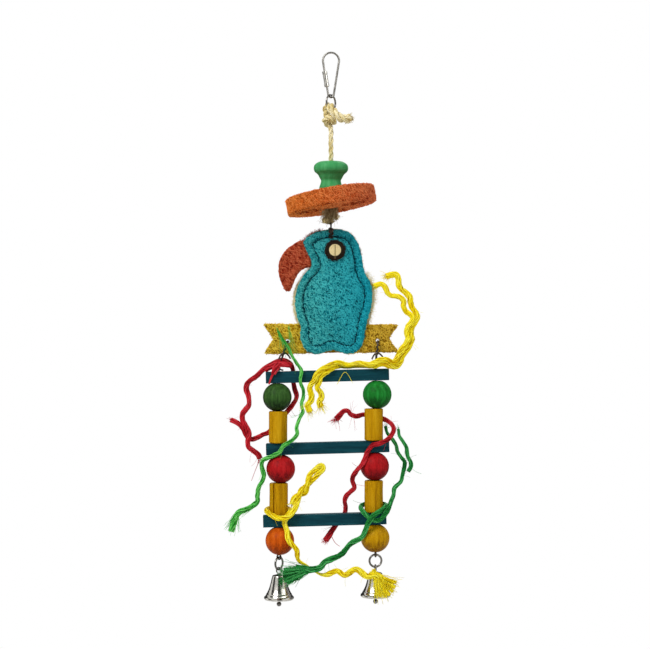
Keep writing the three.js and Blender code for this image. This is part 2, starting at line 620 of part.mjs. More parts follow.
// Loofah slice threaded on the rope, lying at a slant
function loofahDisc() {
  const [rim, half] = [DISC_DIAMETER / 2, DISC_THICKNESS / 2];
  const slice = turnedRing([
    [discBore, half], [rim - DISC_EDGE, half], [rim - DISC_EDGE * 0.3, half - DISC_EDGE * 0.3],
    [rim, half - DISC_EDGE], [rim, DISC_EDGE - half], [rim - DISC_EDGE * 0.3, DISC_EDGE * 0.3 - half],
    [rim - DISC_EDGE, -half], [discBore, -half],
  ], 32);
  const disc = loofah('loofah_disc', slice, 0xd2611f);
  disc.position.z = discZ;
  disc.rotation.copy(discTurn);
  return disc;
}

// Ring from the lower knot to the parrot's head
function headRing() {
  const circle = wireRing(headRingRadius, HEAD_RING_WIRE, RING_SEGMENTS).rotateZ(Math.PI / 2);
  const ring = steel('head_ring', circle);
  ring.position.z = headRingZ;
  return ring;
}

// Perch outline in the parrot's frame, grown by a clearance, with or without its end notches
function perchShape(growth, notched) {
  const half = PERCH_LENGTH / 2;
  const [left, right] = [PERCH_LEFT_HEIGHT / 2 + growth, PERCH_RIGHT_HEIGHT / 2 + growth];
  const shape = new THREE.Shape();
  shape.moveTo(-half, -left);
  shape.lineTo(half, -right);
  if (notched) shape.lineTo(half - PERCH_NOTCH, 0);
  shape.lineTo(half, right);
  shape.lineTo(-half, left);
  if (notched) shape.lineTo(PERCH_NOTCH - half, 0);
  shape.closePath();
  return shape;
}

function perchBar(growth, notched) {
  const bevel = notched ? PERCH_EDGE : 0;
  const thickness = PERCH_THICKNESS + 2 * growth;
  const bar = new THREE.ExtrudeGeometry(perchShape(growth, notched), {
    depth: thickness - 2 * bevel, bevelEnabled: notched, bevelThickness: bevel, bevelSize: bevel,
    bevelOffset: -bevel, bevelSegments: 2,
  });
  return bar.translate(0, 0, bevel - thickness / 2).rotateX(Math.PI / 2)
    .rotateY(-radians(PERCH_TILT)).translate(0, 0, -PERCH_DROP);
}

function perch() {
  const holes = [LEFT_HOLE_X, RIGHT_HOLE_X].map((x) => (
    crossBar(PERCH_HOLE, 2 * PERCH_THICKNESS, x, perchHoleZ)
  ));
  return loofah('perch', cut(perchBar(0, true), ...holes), 0xc0951f);
}

// How far a sewn panel stands out from the seam: flange, stitched groove, crown and a bulge over the perch
function panelDepth(outline, flange, shoulder, crown) {
  const table = [
    [0, FLANGE_EDGE], [FLANGE_ROUND, flange * 0.9], [SEAM_INSET - GROOVE, flange], [SEAM_INSET, STITCH_DEPTH],
    [SEAM_INSET + GROOVE, shoulder], [CROWN_REACH / 2, (shoulder + crown) / 2 + CROWN_ROUND],
    [CROWN_REACH, crown],
  ];
  const bulge = PERCH_THICKNESS / 2 + GAP + CHANNEL_COVER;
  const bulgeFoot = -PERCH_DROP + PERCH_LEFT_HEIGHT / 2 + BULGE_MARGIN;
  return (x, z) => {
    const plain = heightAt(table, distanceToOutline(outline, x, z));
    const over = 1 - THREE.MathUtils.smoothstep(z, bulgeFoot, bulgeFoot + BULGE_EASE);
    return Math.max(plain, bulge * over);
  };
}

// A sewn panel on one side of the seam plane
function panel(outline, side, depth) {
  const inside = SEAM_INSET + GROOVE;
  const rings = [
    [0, 1], [FLANGE_ROUND, 1], [SEAM_INSET - GROOVE, 1], [SEAM_INSET, 1], [inside, 1], [inside, 0.7],
    [inside, 0.36],
  ].map(([inset, share]) => drawnIn(outline, PARROT_MIDDLE, inset, share)
    .map(([x, z]) => [x, side * depth(x, z), z]));
  const seam = outline.map(([x, z]) => [x, side * GAP, z]);
  const [x, z] = PARROT_MIDDLE;
  return skin([x, side * GAP, z], [seam, ...rings], [x, side * depth(x, z), z]);
}

// A round sheet that follows the front panel's surface between two heights over it
function sheetOnFront(depth, diameter, low, high) {
  const [cx, cz] = EYE_PLACE;
  const ring = (share, lift) => Array.from({ length: BEAD_SEGMENTS }, (_, i) => {
    const angle = 2 * Math.PI * i / BEAD_SEGMENTS;
    const reach = share * diameter / 2;
    const [x, z] = [cx + reach * Math.cos(angle), cz + reach * Math.sin(angle)];
    return [x, -depth(x, z) - lift, z];
  });
  const middle = (lift) => [cx, -depth(cx, cz) - lift, cz];
  return skin(middle(low), [ring(0.5, low), ring(1, low), ring(1, high), ring(0.5, high)], middle(high));
}

// Parrot: a stuffed front, a back panel that shows at the sides, the beak, the eye and the perch between them
function parrot() {
  const outline = smoothOutline(PARROT_OUTLINE, OUTLINE_STEPS);
  const frontDepth = panelDepth(outline, FLANGE, FRONT_SHOULDER, FRONT_CROWN);
  const hole = crossBar(HEAD_HOLE, 4 * FRONT_CROWN, 0, 0);
  const channel = perchBar(GAP, false);
  const eyeSeat = sheetOnFront(frontDepth, EYE_PATCH + 2 * GAP, -GAP, FRONT_CROWN);
  const front = cut(panel(outline, -1, frontDepth), hole, channel, eyeSeat);

  const neckTop = SEAM_BOTTOM[1] - NECK_START;
  const backOutline = outline.map(([x, z]) => {
    const widened = 1 - THREE.MathUtils.smoothstep(z, neckTop - NECK_EASE, neckTop);
    return [x + Math.sign(x - PARROT_MIDDLE[0]) * BACK_OVERHANG * widened, z];
  });
  const backDepth = panelDepth(backOutline, BACK_FLANGE, BACK_SHOULDER, BACK_CROWN);
  const back = cut(panel(backOutline, 1, backDepth), hole, channel);

  const patch = sheetOnFront(frontDepth, EYE_PATCH, 0, EYE_SHEET);
  const button = sheetOnFront(frontDepth, EYE_BUTTON, EYE_SHEET + GAP, 2 * EYE_SHEET + GAP);
  const group = new THREE.Group();
  group.position.z = parrotZ;
  group.add(
    loofah('parrot_front', front, 0x1e8e9e),
    loofah('parrot_back', back, 0xd9c98e),
    loofah('beak', beak(outline), 0xa8401f),
    loofah('eye_patch', patch, 0x3a2a1e),
    loofah('eye_button', button, 0xe8d9a8),
    perch(),
  );
  return group;
}

// Beak: a hooked cushion cut back to meet the head along the seam
function beak(headOutline) {
  const outline = smoothOutline([...BEAK_OUTLINE, SEAM_BOTTOM, SEAM_TOP], BEAK_STEPS);
  const ring = (inset, share, y) => drawnIn(outline, BEAK_MIDDLE, inset, share).map(([x, z]) => [x, y, z]);
  const [mx, mz] = BEAK_MIDDLE;
  const full = BEAK_CROWN * 0.75;
  const cushion = skin([mx, BEAK_CROWN, mz], [
    ring(0, 0.6, full + 0.5), ring(1, 1, full), ring(0, 1, BEAK_EDGE),
    ring(0, 1, -BEAK_EDGE), ring(1, 1, -full), ring(0, 0.6, -full - 0.5),
  ], [mx, -BEAK_CROWN, mz]);

  const reach = 2 * BEAK_CROWN;
  const [hx, hz] = PARROT_MIDDLE;
  const grown = drawnIn(headOutline, PARROT_MIDDLE, -SEAM_GAP, 1);
  const sides = [reach, -reach].map((y) => grown.map(([x, z]) => [x, y, z]));
  return cut(cushion, skin([hx, reach, hz], sides, [hx, -reach, hz]));
}

// Hanger: a loop through the perch's hole, a twist, a stem down the column and an eye under the last ball
function hangerWire(name, holeX, columnX, eyeZ, turn) {
  const otherSide = LOOP_SIDE.toReversed().map(([across, down]) => [-across, down]);
  const shares = [[0, -1], ...LOOP_SIDE, [0, 0], ...otherSide, [0, -1]];
  const loop = tube(curveThrough(shares.map(([across, down]) => [
    holeX - columnX + (holeX - columnX) * down, across * LOOP_WIDTH / 2, down * LOOP_HEIGHT,
  ])), HANGER_WIRE, ROUND_SIDES, LOOP_STEP);
  const twistTop = TWIST / 2 - LOOP_HEIGHT;
  const twist = uprightBar(TWIST, twistTop - TWIST_LENGTH, twistTop, ROUND_SIDES);
  const stem = uprightBar(HANGER_WIRE, eyeZ + HANGER_EYE / 2, twistTop - TWIST_LENGTH / 2, ROUND_SIDES);
  const eye = wireRing(HANGER_EYE / 2, HANGER_WIRE, SMALL_RING_SEGMENTS);
  eye.rotateZ(Math.PI / 2 + radians(turn)).translate(0, 0, eyeZ);
  const wire = steel(name, join(stem, twist, loop, eye));
  wire.position.x = columnX;
  return wire;
}

// Square stick with upright bores for the two hanger wires
function rung(name, row) {
  const middle = RUNG_MIDDLES[row];
  const middleZ = rungZ(row, middle);
  const stick = new THREE.BoxGeometry(RUNG_LENGTH, RUNG_THICKNESS, RUNG_THICKNESS);
  const bore = HANGER_WIRE + 2 * WIRE_CLEARANCE;
  const bores = [LEFT_COLUMN_X, RIGHT_COLUMN_X].map((x) => (
    uprightBar(bore, -RUNG_THICKNESS, RUNG_THICKNESS, ROUND_SIDES).translate(x - middle, 0, 0)
  ));
  const mesh = wood(name, cut(stick.rotateY(-radians(RUNG_TILT)), ...bores), 0x0e3b47);
  mesh.position.set(middle, 0, middleZ);
  return mesh;
}

// Wooden ball with flats at its bore
function ballShape() {
  const [radius, half, bore] = [BALL / 2, BALL_HEIGHT / 2, BEAD_BORE / 2];
  const edge = Math.acos(BALL_FLAT / BALL);
  const rise = half / Math.sin(edge);
  const arc = Array.from({ length: 2 * BALL_STEPS + 1 }, (_, i) => {
    const angle = edge * (1 - i / BALL_STEPS);
    return [radius * Math.cos(angle), rise * Math.sin(angle)];
  });
  return turnedRing([[bore, half], ...arc, [bore, -half]], BEAD_SEGMENTS);
}

function dowelShape() {
  const [radius, half, bore] = [DOWEL / 2, DOWEL_LENGTH / 2, BEAD_BORE / 2];
  return turnedRing([
    [bore, half], [radius - DOWEL_BEVEL, half], [radius, half - DOWEL_BEVEL], [radius, DOWEL_BEVEL - half],
    [radius - DOWEL_BEVEL, -half], [bore, -half],
  ], BEAD_SEGMENTS);
}

// One bell with its ring, its eye through the crown and its clapper, below a ball's bottom
function bellChain(side, columnX, ballBottomZ, turn) {
  const ringRadius = (BELL_RING_OUTER - BELL_RING_WIRE) / 2;
  const ringTopZ = hangerEyeZ(ballBottomZ) - (HANGER_EYE - HANGER_WIRE - BELL_RING_WIRE) / 2 + LINK_SLACK;
  const ringZ = ringTopZ - ringRadius;
  const eyeTopZ = ringZ - ringRadius + (BELL_RING_WIRE + BELL_EYE_WIRE) / 2 + LINK_SLACK;
  const crownZ = eyeTopZ - BELL_EYE - BELL_EYE_WIRE / 2 - COLLAR_HEIGHT - GAP;

  const shoulder = BELL_SHOULDER / 2;
  const mouth = BELL_MOUTH / 2;
  const outer = BELL_FLARE.map(([out, down]) => [shoulder + (mouth - shoulder) * out, -down * BELL_HEIGHT]);
  const inner = BELL_FLARE.toReversed().slice(1).map(([out, down]) => [
    shoulder + (mouth - shoulder) * out - BELL_WALL, Math.min(-down * BELL_HEIGHT, -BELL_WALL),
  ]);
  const bore = BELL_EYE_WIRE / 2 + GAP;
  const bell = turnedRing([
    [bore, 0], [shoulder - BELL_WALL, 0], ...outer,
    [mouth - BELL_WALL, -BELL_HEIGHT], ...inner, [bore, -BELL_WALL],
  ], BELL_SEGMENTS);

  const [rod, collar] = [BELL_EYE_WIRE / 2, BELL_COLLAR / 2];
  const under = -BELL_WALL - GAP;
  const hookZ = under - COLLAR_HEIGHT - HOOK / 2 - HOOK_WIRE / 2;
  const loopZ = COLLAR_HEIGHT + GAP + BELL_EYE_WIRE / 2 + BELL_EYE / 2;
  const stem = turned([
    [0, loopZ - BELL_EYE / 2], [rod, loopZ - BELL_EYE / 2], [rod, GAP + COLLAR_HEIGHT],
    [collar, GAP + COLLAR_HEIGHT], [collar, GAP], [rod, GAP], [rod, under], [collar, under],
    [collar, under - COLLAR_HEIGHT], [rod, under - COLLAR_HEIGHT],
    [rod, hookZ + HOOK / 2], [0, hookZ + HOOK / 2],
  ], ROUND_SIDES);
  const eyeLoop = wireRing(BELL_EYE / 2, BELL_EYE_WIRE, SMALL_RING_SEGMENTS);
  eyeLoop.rotateZ(Math.PI / 2).translate(0, 0, loopZ);
  const hook = wireRing(HOOK / 2, HOOK_WIRE, SMALL_RING_SEGMENTS).translate(0, 0, hookZ);

  const clapperLoopZ = hookZ - HOOK + HOOK_WIRE + LINK_SLACK;
  const clapperLoop = wireRing(HOOK / 2, HOOK_WIRE, SMALL_RING_SEGMENTS);
  clapperLoop.rotateZ(Math.PI / 2).translate(0, 0, clapperLoopZ);
  const clapperRod = uprightBar(HOOK_WIRE, -CLAPPER_DROP, clapperLoopZ - HOOK / 2, WIRE_SIDES);
  const clapperBall = ball(CLAPPER_BALL, CLAPPER_BALL, CLAPPER_BALL, -CLAPPER_DROP);

  const group = new THREE.Group();
  group.position.set(columnX, 0, crownZ);
  group.rotation.z = radians(turn);
  const ring = steel(`bell_ring_${side}`, wireRing(ringRadius, BELL_RING_WIRE, RING_SEGMENTS));
  ring.position.z = ringZ - crownZ;
  group.add(
    ring,
    steel(`bell_${side}`, bell),
    steel(`bell_eye_${side}`, join(stem, eyeLoop, hook)),
    steel(`clapper_${side}`, join(clapperRod, clapperLoop, clapperBall)),
  );
  return group;
}

// Middle of the eye under a column's last ball
function hangerEyeZ(ballBottomZ) {
  return ballBottomZ - (HANGER_EYE + HANGER_WIRE) / 2 + GAP;
}

// Ladder: two hanger wires strung with balls and dowel beads between three rungs, and a bell on each
function ladder() {
  const group = new THREE.Group();
  group.position.z = ladderZ;
  ['top', 'middle', 'bottom'].forEach((row, i) => group.add(rung(`rung_${row}`, i)));

  const columns = [
    {
      side: 'left', x: LEFT_COLUMN_X, holeX: LEFT_HOLE_X, turn: LEFT_RING_TURN,
      balls: LEFT_BALLS, dowels: LEFT_DOWELS,
    },
    {
      side: 'right', x: RIGHT_COLUMN_X, holeX: RIGHT_HOLE_X, turn: RIGHT_RING_TURN,
      balls: RIGHT_BALLS, dowels: RIGHT_DOWELS,
    },
  ];
  columns.forEach(({ side, x, holeX, turn, balls, dowels }) => {
    const ballZ = (row) => rungZ(row, x) - rungRise / 2 - STACK_GAP - BALL_HEIGHT / 2;
    ['top', 'middle', 'bottom'].forEach((row, i) => {
      const [shift, colour] = balls[i];
      const bead = wood(`ball_${row}_${side}`, ballShape(), colour);
      bead.position.set(x + shift, 0, ballZ(i));
      group.add(bead);
    });
    ['upper', 'lower'].forEach((row, i) => {
      const dowel = wood(`dowel_${row}_${side}`, dowelShape(), 0xbf8a0c);
      dowel.position.set(x + dowels[i], 0, ballZ(i) - BALL_HEIGHT / 2 - STACK_GAP - DOWEL_LENGTH / 2);
      group.add(dowel);
    });
    const bottomZ = ballZ(2) - BALL_HEIGHT / 2;
    group.add(
      hangerWire(`hanger_wire_${side}`, holeX, x, hangerEyeZ(bottomZ), turn),
      bellChain(side, x, bottomZ, turn),
    );
  });
  return group;
}

// Dyed sisal strands, each a plain tube along its route
function strands() {
  const group = new THREE.Group();
  STRANDS.forEach(({ name, colour, diameter, route }) => {
    const strand = tube(curveThrough(route), diameter, STRAND_SIDES, STEP_IN_DIAMETERS * diameter);
    group.add(piece(name, strand, colour, 0.7, 0));
  });
  return group;
}

const toy = new THREE.Group();
toy.add(...screwLink(), topRing(), hangingRope(), spool(), loofahDisc(), headRing());
toy.add(parrot(), ladder(), strands());

export default toy;
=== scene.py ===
import math
import random

import bmesh
import bpy
from mathutils import Matrix, Vector, noise
from mathutils.bvhtree import BVHTree
from mathutils.kdtree import KDTree


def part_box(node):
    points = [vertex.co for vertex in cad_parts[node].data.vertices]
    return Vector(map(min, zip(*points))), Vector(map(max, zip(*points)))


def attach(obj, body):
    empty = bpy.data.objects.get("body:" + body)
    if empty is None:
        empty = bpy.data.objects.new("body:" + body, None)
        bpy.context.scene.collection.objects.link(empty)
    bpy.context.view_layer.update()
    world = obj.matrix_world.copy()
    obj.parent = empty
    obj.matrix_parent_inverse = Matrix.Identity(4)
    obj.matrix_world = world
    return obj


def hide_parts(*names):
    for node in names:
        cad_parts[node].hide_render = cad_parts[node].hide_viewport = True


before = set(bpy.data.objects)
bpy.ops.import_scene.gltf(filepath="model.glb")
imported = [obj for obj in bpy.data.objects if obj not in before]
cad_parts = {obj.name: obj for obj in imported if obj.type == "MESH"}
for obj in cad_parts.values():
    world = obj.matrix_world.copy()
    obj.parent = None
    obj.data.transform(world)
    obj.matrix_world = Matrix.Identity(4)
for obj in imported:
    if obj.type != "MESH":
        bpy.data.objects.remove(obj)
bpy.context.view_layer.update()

# Camera and studio
LENS = 85
CAMERA_PLACE = (-0.0052, -1.335, -0.2356)
TOY_MIDDLE = Vector((0, 0, -0.25))
WHITE = (1, 1, 1, 1)
AMBIENT = 0.25
FLOOR_DROP, FLOOR_SIZE, FLOOR_SHADE = -0.62, 12, 0.9
SHADOW_REACH = (0.26, 0.44)
# Lamps: place, size and power
LAMPS = {
    "key": ((-0.9, -1.1, 0.95), 0.8, 23),
    "fill": ((1.2, -0.8, 0.8), 1.1, 9),
    "back": ((0.3, 1.4, 0.5), 1.0, 14),
}
# Cards that only reflections see: degrees right of the camera, degrees up, width, height and shade
CARD_REACH = 0.9
CARDS = [
    (3, 0, 0.62, 1.5, 0.04), (-75, 0, 0.46, 1.5, 0.05), (105, 0, 0.7, 1.5, 0.3), (155, 0, 0.9, 1.5, 0.04),
    (-150, 0, 1.0, 1.5, 0.04), (25, 60, 0.8, 0.34, 0.04),
]

# Steps along fine wires and windings, and the play round what passes through a bore
WIRE_STEP, WINDING_STEP = 0.0006, 0.0003
CLEARANCE = 0.0003
# Steps of a spline between two of its points, and how near points count as one
SPLINE_STEPS, TOUCHING = 12, 1e-6
# The largest fibre of a coat, as a share of the length asked for
LARGEST_FIBRE = 1.2
# A dye's second shade comes in from left to right, and wood grain is drawn out by this much
FAR_FROM, FAR_TO, GRAIN_STRETCH = -0.03, 0.035, 0.07

# Screw link and rings
LINK_WIRE, LINK_STEP = 0.0018, 0.0005
BOW_RADIUS, BOW_HEIGHT = 0.007, -0.0061
TIP_RADIUS, TIP_HEIGHT = 0.0024, -0.0356
NUT_LENGTH, NUT_WIDTH, NUT_BORE = 0.0136, 0.0043, 0.0024
NUT_COLLAR, NUT_GROOVE, NUT_BEVEL = 0.0026, 0.0004, 0.0003
NUT_TOP = -0.0153
MOUTH_TOP, MOUTH_BOTTOM = -0.02083, -0.02583
TOP_RING = {"radius": 0.0067, "wire": 0.0016, "height": -0.0426, "turn": 55}
HEAD_RING = {"radius": 0.0069, "wire": 0.0014, "height": -0.15264, "turn": 90}
BUTT_GAP = 0.0003
BINDING_FRONT, BINDING_RISE = -0.0006, 0.0005
BINDING_REACH, BINDING_RADIUS, BINDING_TURNS = 0.0016, 0.0008, 6

# Spool: radius and share of the height down from its top
SPOOL_PROFILE = [
    (0.0085, 0), (0.0103, 0.012), (0.01245, 0.055), (0.0144, 0.13), (0.015, 0.25), (0.01425, 0.35),
    (0.0114, 0.46), (0.00992, 0.57), (0.00865, 0.67), (0.0089, 0.75), (0.0096, 0.84), (0.0101, 0.9),
    (0.0101, 0.95), (0.0092, 1),
]

# Rope, with its route from the lower knot up and how full it is along it
ROPE = 0.0044
ROPE_PLIES, ROPE_FIBRES, ROPE_PITCH = 3, 9, 0.019
PLY_REACH, BUNDLE_REACH, BUNDLE_PITCH = ROPE * 0.255, ROPE * 0.17, ROPE_PITCH * 1.6
ROPE_CORE, ROPE_FIBRE, BUNDLE_SPREAD = BUNDLE_REACH * 0.9, (0.07, 0.1), (0.85, 1.1)
ROPE_STEP = 0.0011
ROPE_ROUTE = [
    (0.002, 0.004, -0.1455), (-0.0048, 0.0032, -0.1458), (-0.0058, -0.0022, -0.1446),
    (-0.0008, -0.0044, -0.1434), (0.005, -0.0028, -0.1424), (0.0046, 0.0026, -0.1412),
    (-0.0012, 0.0042, -0.1402), (-0.0046, 0.0004, -0.1394), (-0.0012, -0.0032, -0.1384),
    (0.0012, -0.0008, -0.137), (0, 0, -0.134), (0, 0, -0.12), (0, 0, -0.1), (0, 0, -0.08),
    (0, 0.0002, -0.0695), (-0.0004, 0.0008, -0.0638), (-0.0036, 0.0008, -0.0608),
    (-0.0052, -0.0026, -0.058), (-0.0022, -0.0054, -0.0568), (0.0012, -0.0046, -0.0584),
    (0.0022, -0.0002, -0.0594), (0.0006, 0.0042, -0.0574), (-0.0032, 0.0038, -0.0534),
    (-0.004, 0.0026, -0.0494), (-0.003, 0.0006, -0.0458), (-0.0012, -0.0024, -0.046),
    (0.0008, -0.005, -0.0492), (0.0034, -0.0062, -0.0528), (0.0072, -0.0056, -0.056),
    (0.0118, -0.0034, -0.0572), (0.0165, -0.0015, -0.0564),
]
ROPE_FULLNESS = [(0, 1.05), (0.2, 1.1), (0.3, 1), (0.62, 1), (0.67, 1.3), (0.8, 1.4), (0.85, 1.7), (1, 1.9)]
# Fans of the rope's frayed tail and lower knot: place, heading, count, length, spread, half thickness
TAIL_FRAYS = [((0.0152, -0.0015, -0.0566), (1, -0.1, 0.1), 220, 0.004, 0.6, 0.00022)]
KNOT_FRAYS = [
    ((aside, -0.0045, -0.1345), (aside * 40 - 0.1, -0.2, -1), 70, 0.0125, 0.14, 0.00026)
    for aside in (-0.004, -0.0015, 0.001, 0.0035)
]
KNOT_FRAYS.append(((-0.001, -0.0045, -0.1455), (-0.1, -0.4, 1), 90, 0.0115, 0.3, 0.0002))
HAIR_STEPS, HAIR_WAVE, HAIR_TAPER = 7, 0.25, 0.6
FRAY_WIDTH, FRAY_CURL, FRAY_BEND = 0.0007, 0.18, 0.0018

# Loofah slice, with three seed hollows in its underside
SLICE_FRONT_RAISED, SLICE_RIGHT_RAISED = 2.5, 10
SLICE_TURN = (
    Matrix.Rotation(math.radians(-SLICE_FRONT_RAISED), 3, "X")
    @ Matrix.Rotation(math.radians(-SLICE_RIGHT_RAISED), 3, "Y")
)
SLICE_LEVEL = SLICE_TURN.transposed()
SLICE_UNDERSIDE, SLICE_BARE_MIDDLE, SLICE_RIM_SLOPE = -0.0062, 0.007, 0.6
HOLLOW_TURNS = (205, 325, 85)
HOLLOW_PLACE, HOLLOW_RADIUS, HOLLOW_DEPTH = 0.023, 0.012, 0.006
# Lumps to a metre of a matted surface
BROAD_LUMPS, SHARP_LUMPS = 330, 1100

# Parrot, with its outline in the frame of its head hole
PARROT_HEIGHT = -0.15954
PARROT_MIDDLE = Vector((0.0017, 0, -0.0418 + PARROT_HEIGHT))
PARROT_OUTLINE = [
    (-0.0245, -0.0045), (-0.0176, 0.0017), (-0.0085, 0.0053), (0.0044, 0.0067), (0.0144, 0.0047),
    (0.0214, -0.0018), (0.0254, -0.0108), (0.0274, -0.0228), (0.0294, -0.0318), (0.0342, -0.0398),
    (0.036, -0.0498), (0.0348, -0.0607), (0.0314, -0.072), (0.0294, -0.0818), (0.0282, -0.09),
    (0.0252, -0.0967), (0.0194, -0.1007), (0.0124, -0.1012), (0.0064, -0.0994), (0.0004, -0.0972),
    (-0.0056, -0.1), (-0.0125, -0.1017), (-0.0196, -0.0997), (-0.0245, -0.0937), (-0.0263, -0.0857),
    (-0.0262, -0.077), (-0.0296, -0.0687), (-0.0313, -0.0587), (-0.0305, -0.0488), (-0.0275, -0.0398),
    (-0.0225, -0.0318), (-0.0163, -0.0246), (-0.0204, -0.0145),
]
# The front's rolled rim, the sewn groove inside it and the share of the groove that no fibre grows on
SEAM_INSET, SEAM_WIDTH, SEAM_DEPTH, SEAM_BARE = 0.007, 0.0015, 0.0003, 0.42
OUTLINE_STEP, SEAM_STEP, SEAM_SEARCH_STEP = 0.0005, 0.0012, 0.0003
RIM_FROM, RIM_RISE = -0.0008, 0.0011
# Fibres grow on the pads from here outwards, and not on the perch where the pads cover it
FIBRES_FROM, PERCH_COVERED = 0.0012, 0.022
STITCH_SPACING, STITCH_HALF, STITCH_ARCH, STITCH_SINK = 0.0044, 0.0022, 0.0013, -0.0004
STITCH_RADIUS = 0.00032
EYE = (0.0035, -0.1713)
EYE_THREAD_RISE, EYE_THREAD_LENGTH, EYE_THREAD_RADIUS = 0.0042, 0.0118, 0.00032
EYE_THREAD_FALL, EYE_THREAD_STEP, EYE_THREAD_STEPS = 0.0004, 0.0005, 14
# A line towards the front of the toy starts here, and a thread laid on a surface stands this proud
BEFORE_TOY, PROUD = -0.05, 0.0001
FRINGE_SINK, FRINGE_SPREAD, FRINGE_CURL, FRINGE_RADIUS = 0.001, 0.3, 0.2, 0.0002

# Ladder
HANGER_WIRE = 0.0014
HINGE_HEIGHT = -0.24994
LOOP_HEIGHT, LOOP_WIDTH = 0.0225, 0.0152
LOOP_SIDE = [(0.52, -0.85), (0.92, -0.62), (1, -0.36), (0.78, -0.05)]
TWIST_TOP, TWIST_LENGTH, TWIST_STEPS = -0.02108, 0.0034, 14
CUT_END_DROP, TWIST_END_DROP, STEM_DROP, STEM_STEP = 0.0004, 0.0012, 0.001, 0.004
CUT_END = [(0.0036, 0.0012, -0.0006), (0.0012, 0.0006, 0)]
HANGER_EYE, HANGER_EYE_GAP = 0.004, 0.0008
# Thin wire whipped round the front of each hanger's loop, with two loose ends
WHIPPING_FRONT, WHIPPING_DROP, WHIPPING_REACH, WHIPPING_TURNS = -0.003, 0.0135, 0.0009, 4
WHIPPING_FOOT, WHIPPING_WIRE = (-1.02, -0.42), 0.85
WHIPPING_ENDS = [(-0.0045, -0.0012, -0.0062), (0.0058, -0.0012, -0.0058)]
WHIPPING_BOW_PLACE, WHIPPING_BOW = 0.45, 0.16
# The last ball number is painted shade: how much darker a ball is coloured towards its bottom, standing in
# for the shade under it
BALL, BALL_FLAT, BALL_STEPS, BALL_PAINTED_SHADE = 0.025, 0.0079568, 36, 0.32
BEAD_BORE, BORE_BEVEL = 0.0052, 0.0003
DOWEL, DOWEL_LENGTH, DOWEL_BEVEL, DOWEL_STEPS = 0.016, 0.0275, 0.0007, 16
# The dowels' worn sides: depth, and how fast it changes round, along and from dowel to dowel
DOWEL_RUB, RUB_ROUND, RUB_ALONG, RUB_APART = 0.00022, 5, 90, 400
SPLIT_TURN, SPLIT_WIDTH, SPLIT_DEPTH = 236.6, 7, 0.0026
RUNG_BEVEL = 0.0005
COLUMNS = {
    "left": {
        "x": -0.0452, "hole": -0.0375, "eye": -0.43779, "ring_turn": 55, "ring": -0.44334, "crown": -0.45369,
    },
    "right": {
        "x": 0.0387, "hole": 0.0406, "eye": -0.43552, "ring_turn": 10, "ring": -0.44107, "crown": -0.45142,
    },
}

# Bells
BELL_RING_RADIUS, BELL_RING_WIRE = 0.0053, 0.0018
BELL_MOUTH, BELL_SHOULDER, BELL_HEIGHT, BELL_WALL = 0.027, 0.012, 0.0208, 0.0009
BELL_FLARE = [(0, 0.06), (0.16, 0.3), (0.35, 0.54), (0.59, 0.73), (0.85, 0.89), (1, 0.97), (1, 1)]
BELL_CROWN_FALL, BELL_STEP = 0.0002, 0.0004
# The lip: where it starts and its own share of the height, and how far it is drawn in
BELL_LIP_FROM, BELL_LIP_SHARE, BELL_LIP_DRAW = 0.94, 0.06, 0.0011
# Beads round the bell: share of the height, half width as a share of it, and rise
BELL_BEADS = [(0.78, 0.022, 0.00022), (0.9, 0.03, 0.00038)]
BELL_EYE, BELL_EYE_WIRE, BELL_EYE_RISE, BELL_ROD_STEP = 0.0054, 0.0012, 0.004, 0.001
HOOK, HOOK_WIRE, HOOK_DROP = 0.003, 0.001, 0.0036
# Washers on the bell's eye: height over the crown and radius
WASHERS = [(0.0005, 0.0036), (-0.0014, 0.0016)]
WASHER_HALF, WASHER_DISH = 0.0002, 0.7
CLAPPER_BALL, CLAPPER_DROP, CLAPPER_PLAY = 0.0042, 0.025, 0.00015
CLAPPER_ROD_STEP, KNOB_STEPS = 0.002, 20

# Strands
STRAND, PLY = 0.0034, 0.0032
STRAND_STEP = 0.0012
YARN_FIBRES, YARN_PITCH = 17, 0.045
# Shares of a yarn's thickness: its core, how far out its fibres lie and their half thickness
YARN_CORE, YARN_REACH, YARN_FIBRE = 0.37, (0.37, 0.44), (0.07, 0.11)
# How far fibres stray round a yarn or a ply, as a share of their spacing
SCATTER = 0.3
# The yarn's swell, its fibres' waver and their heave, each with how fast it changes along the yarn
SWELL, SWELL_RATE = 0.14, 110
WAVER, WAVER_RATE = 0.25, 400
HEAVE, HEAVE_RATE = 0.08, 260
# Where a strand's stray hairs are rooted, as a share of its thickness
HAIR_ROOTS, LOOSE_TAPER = 0.4, 0.4
LOCK_BEND, LOCK_FULLNESS = 0.0006, [(0, 0.7), (0.5, 0.9), (1, 1.1)]

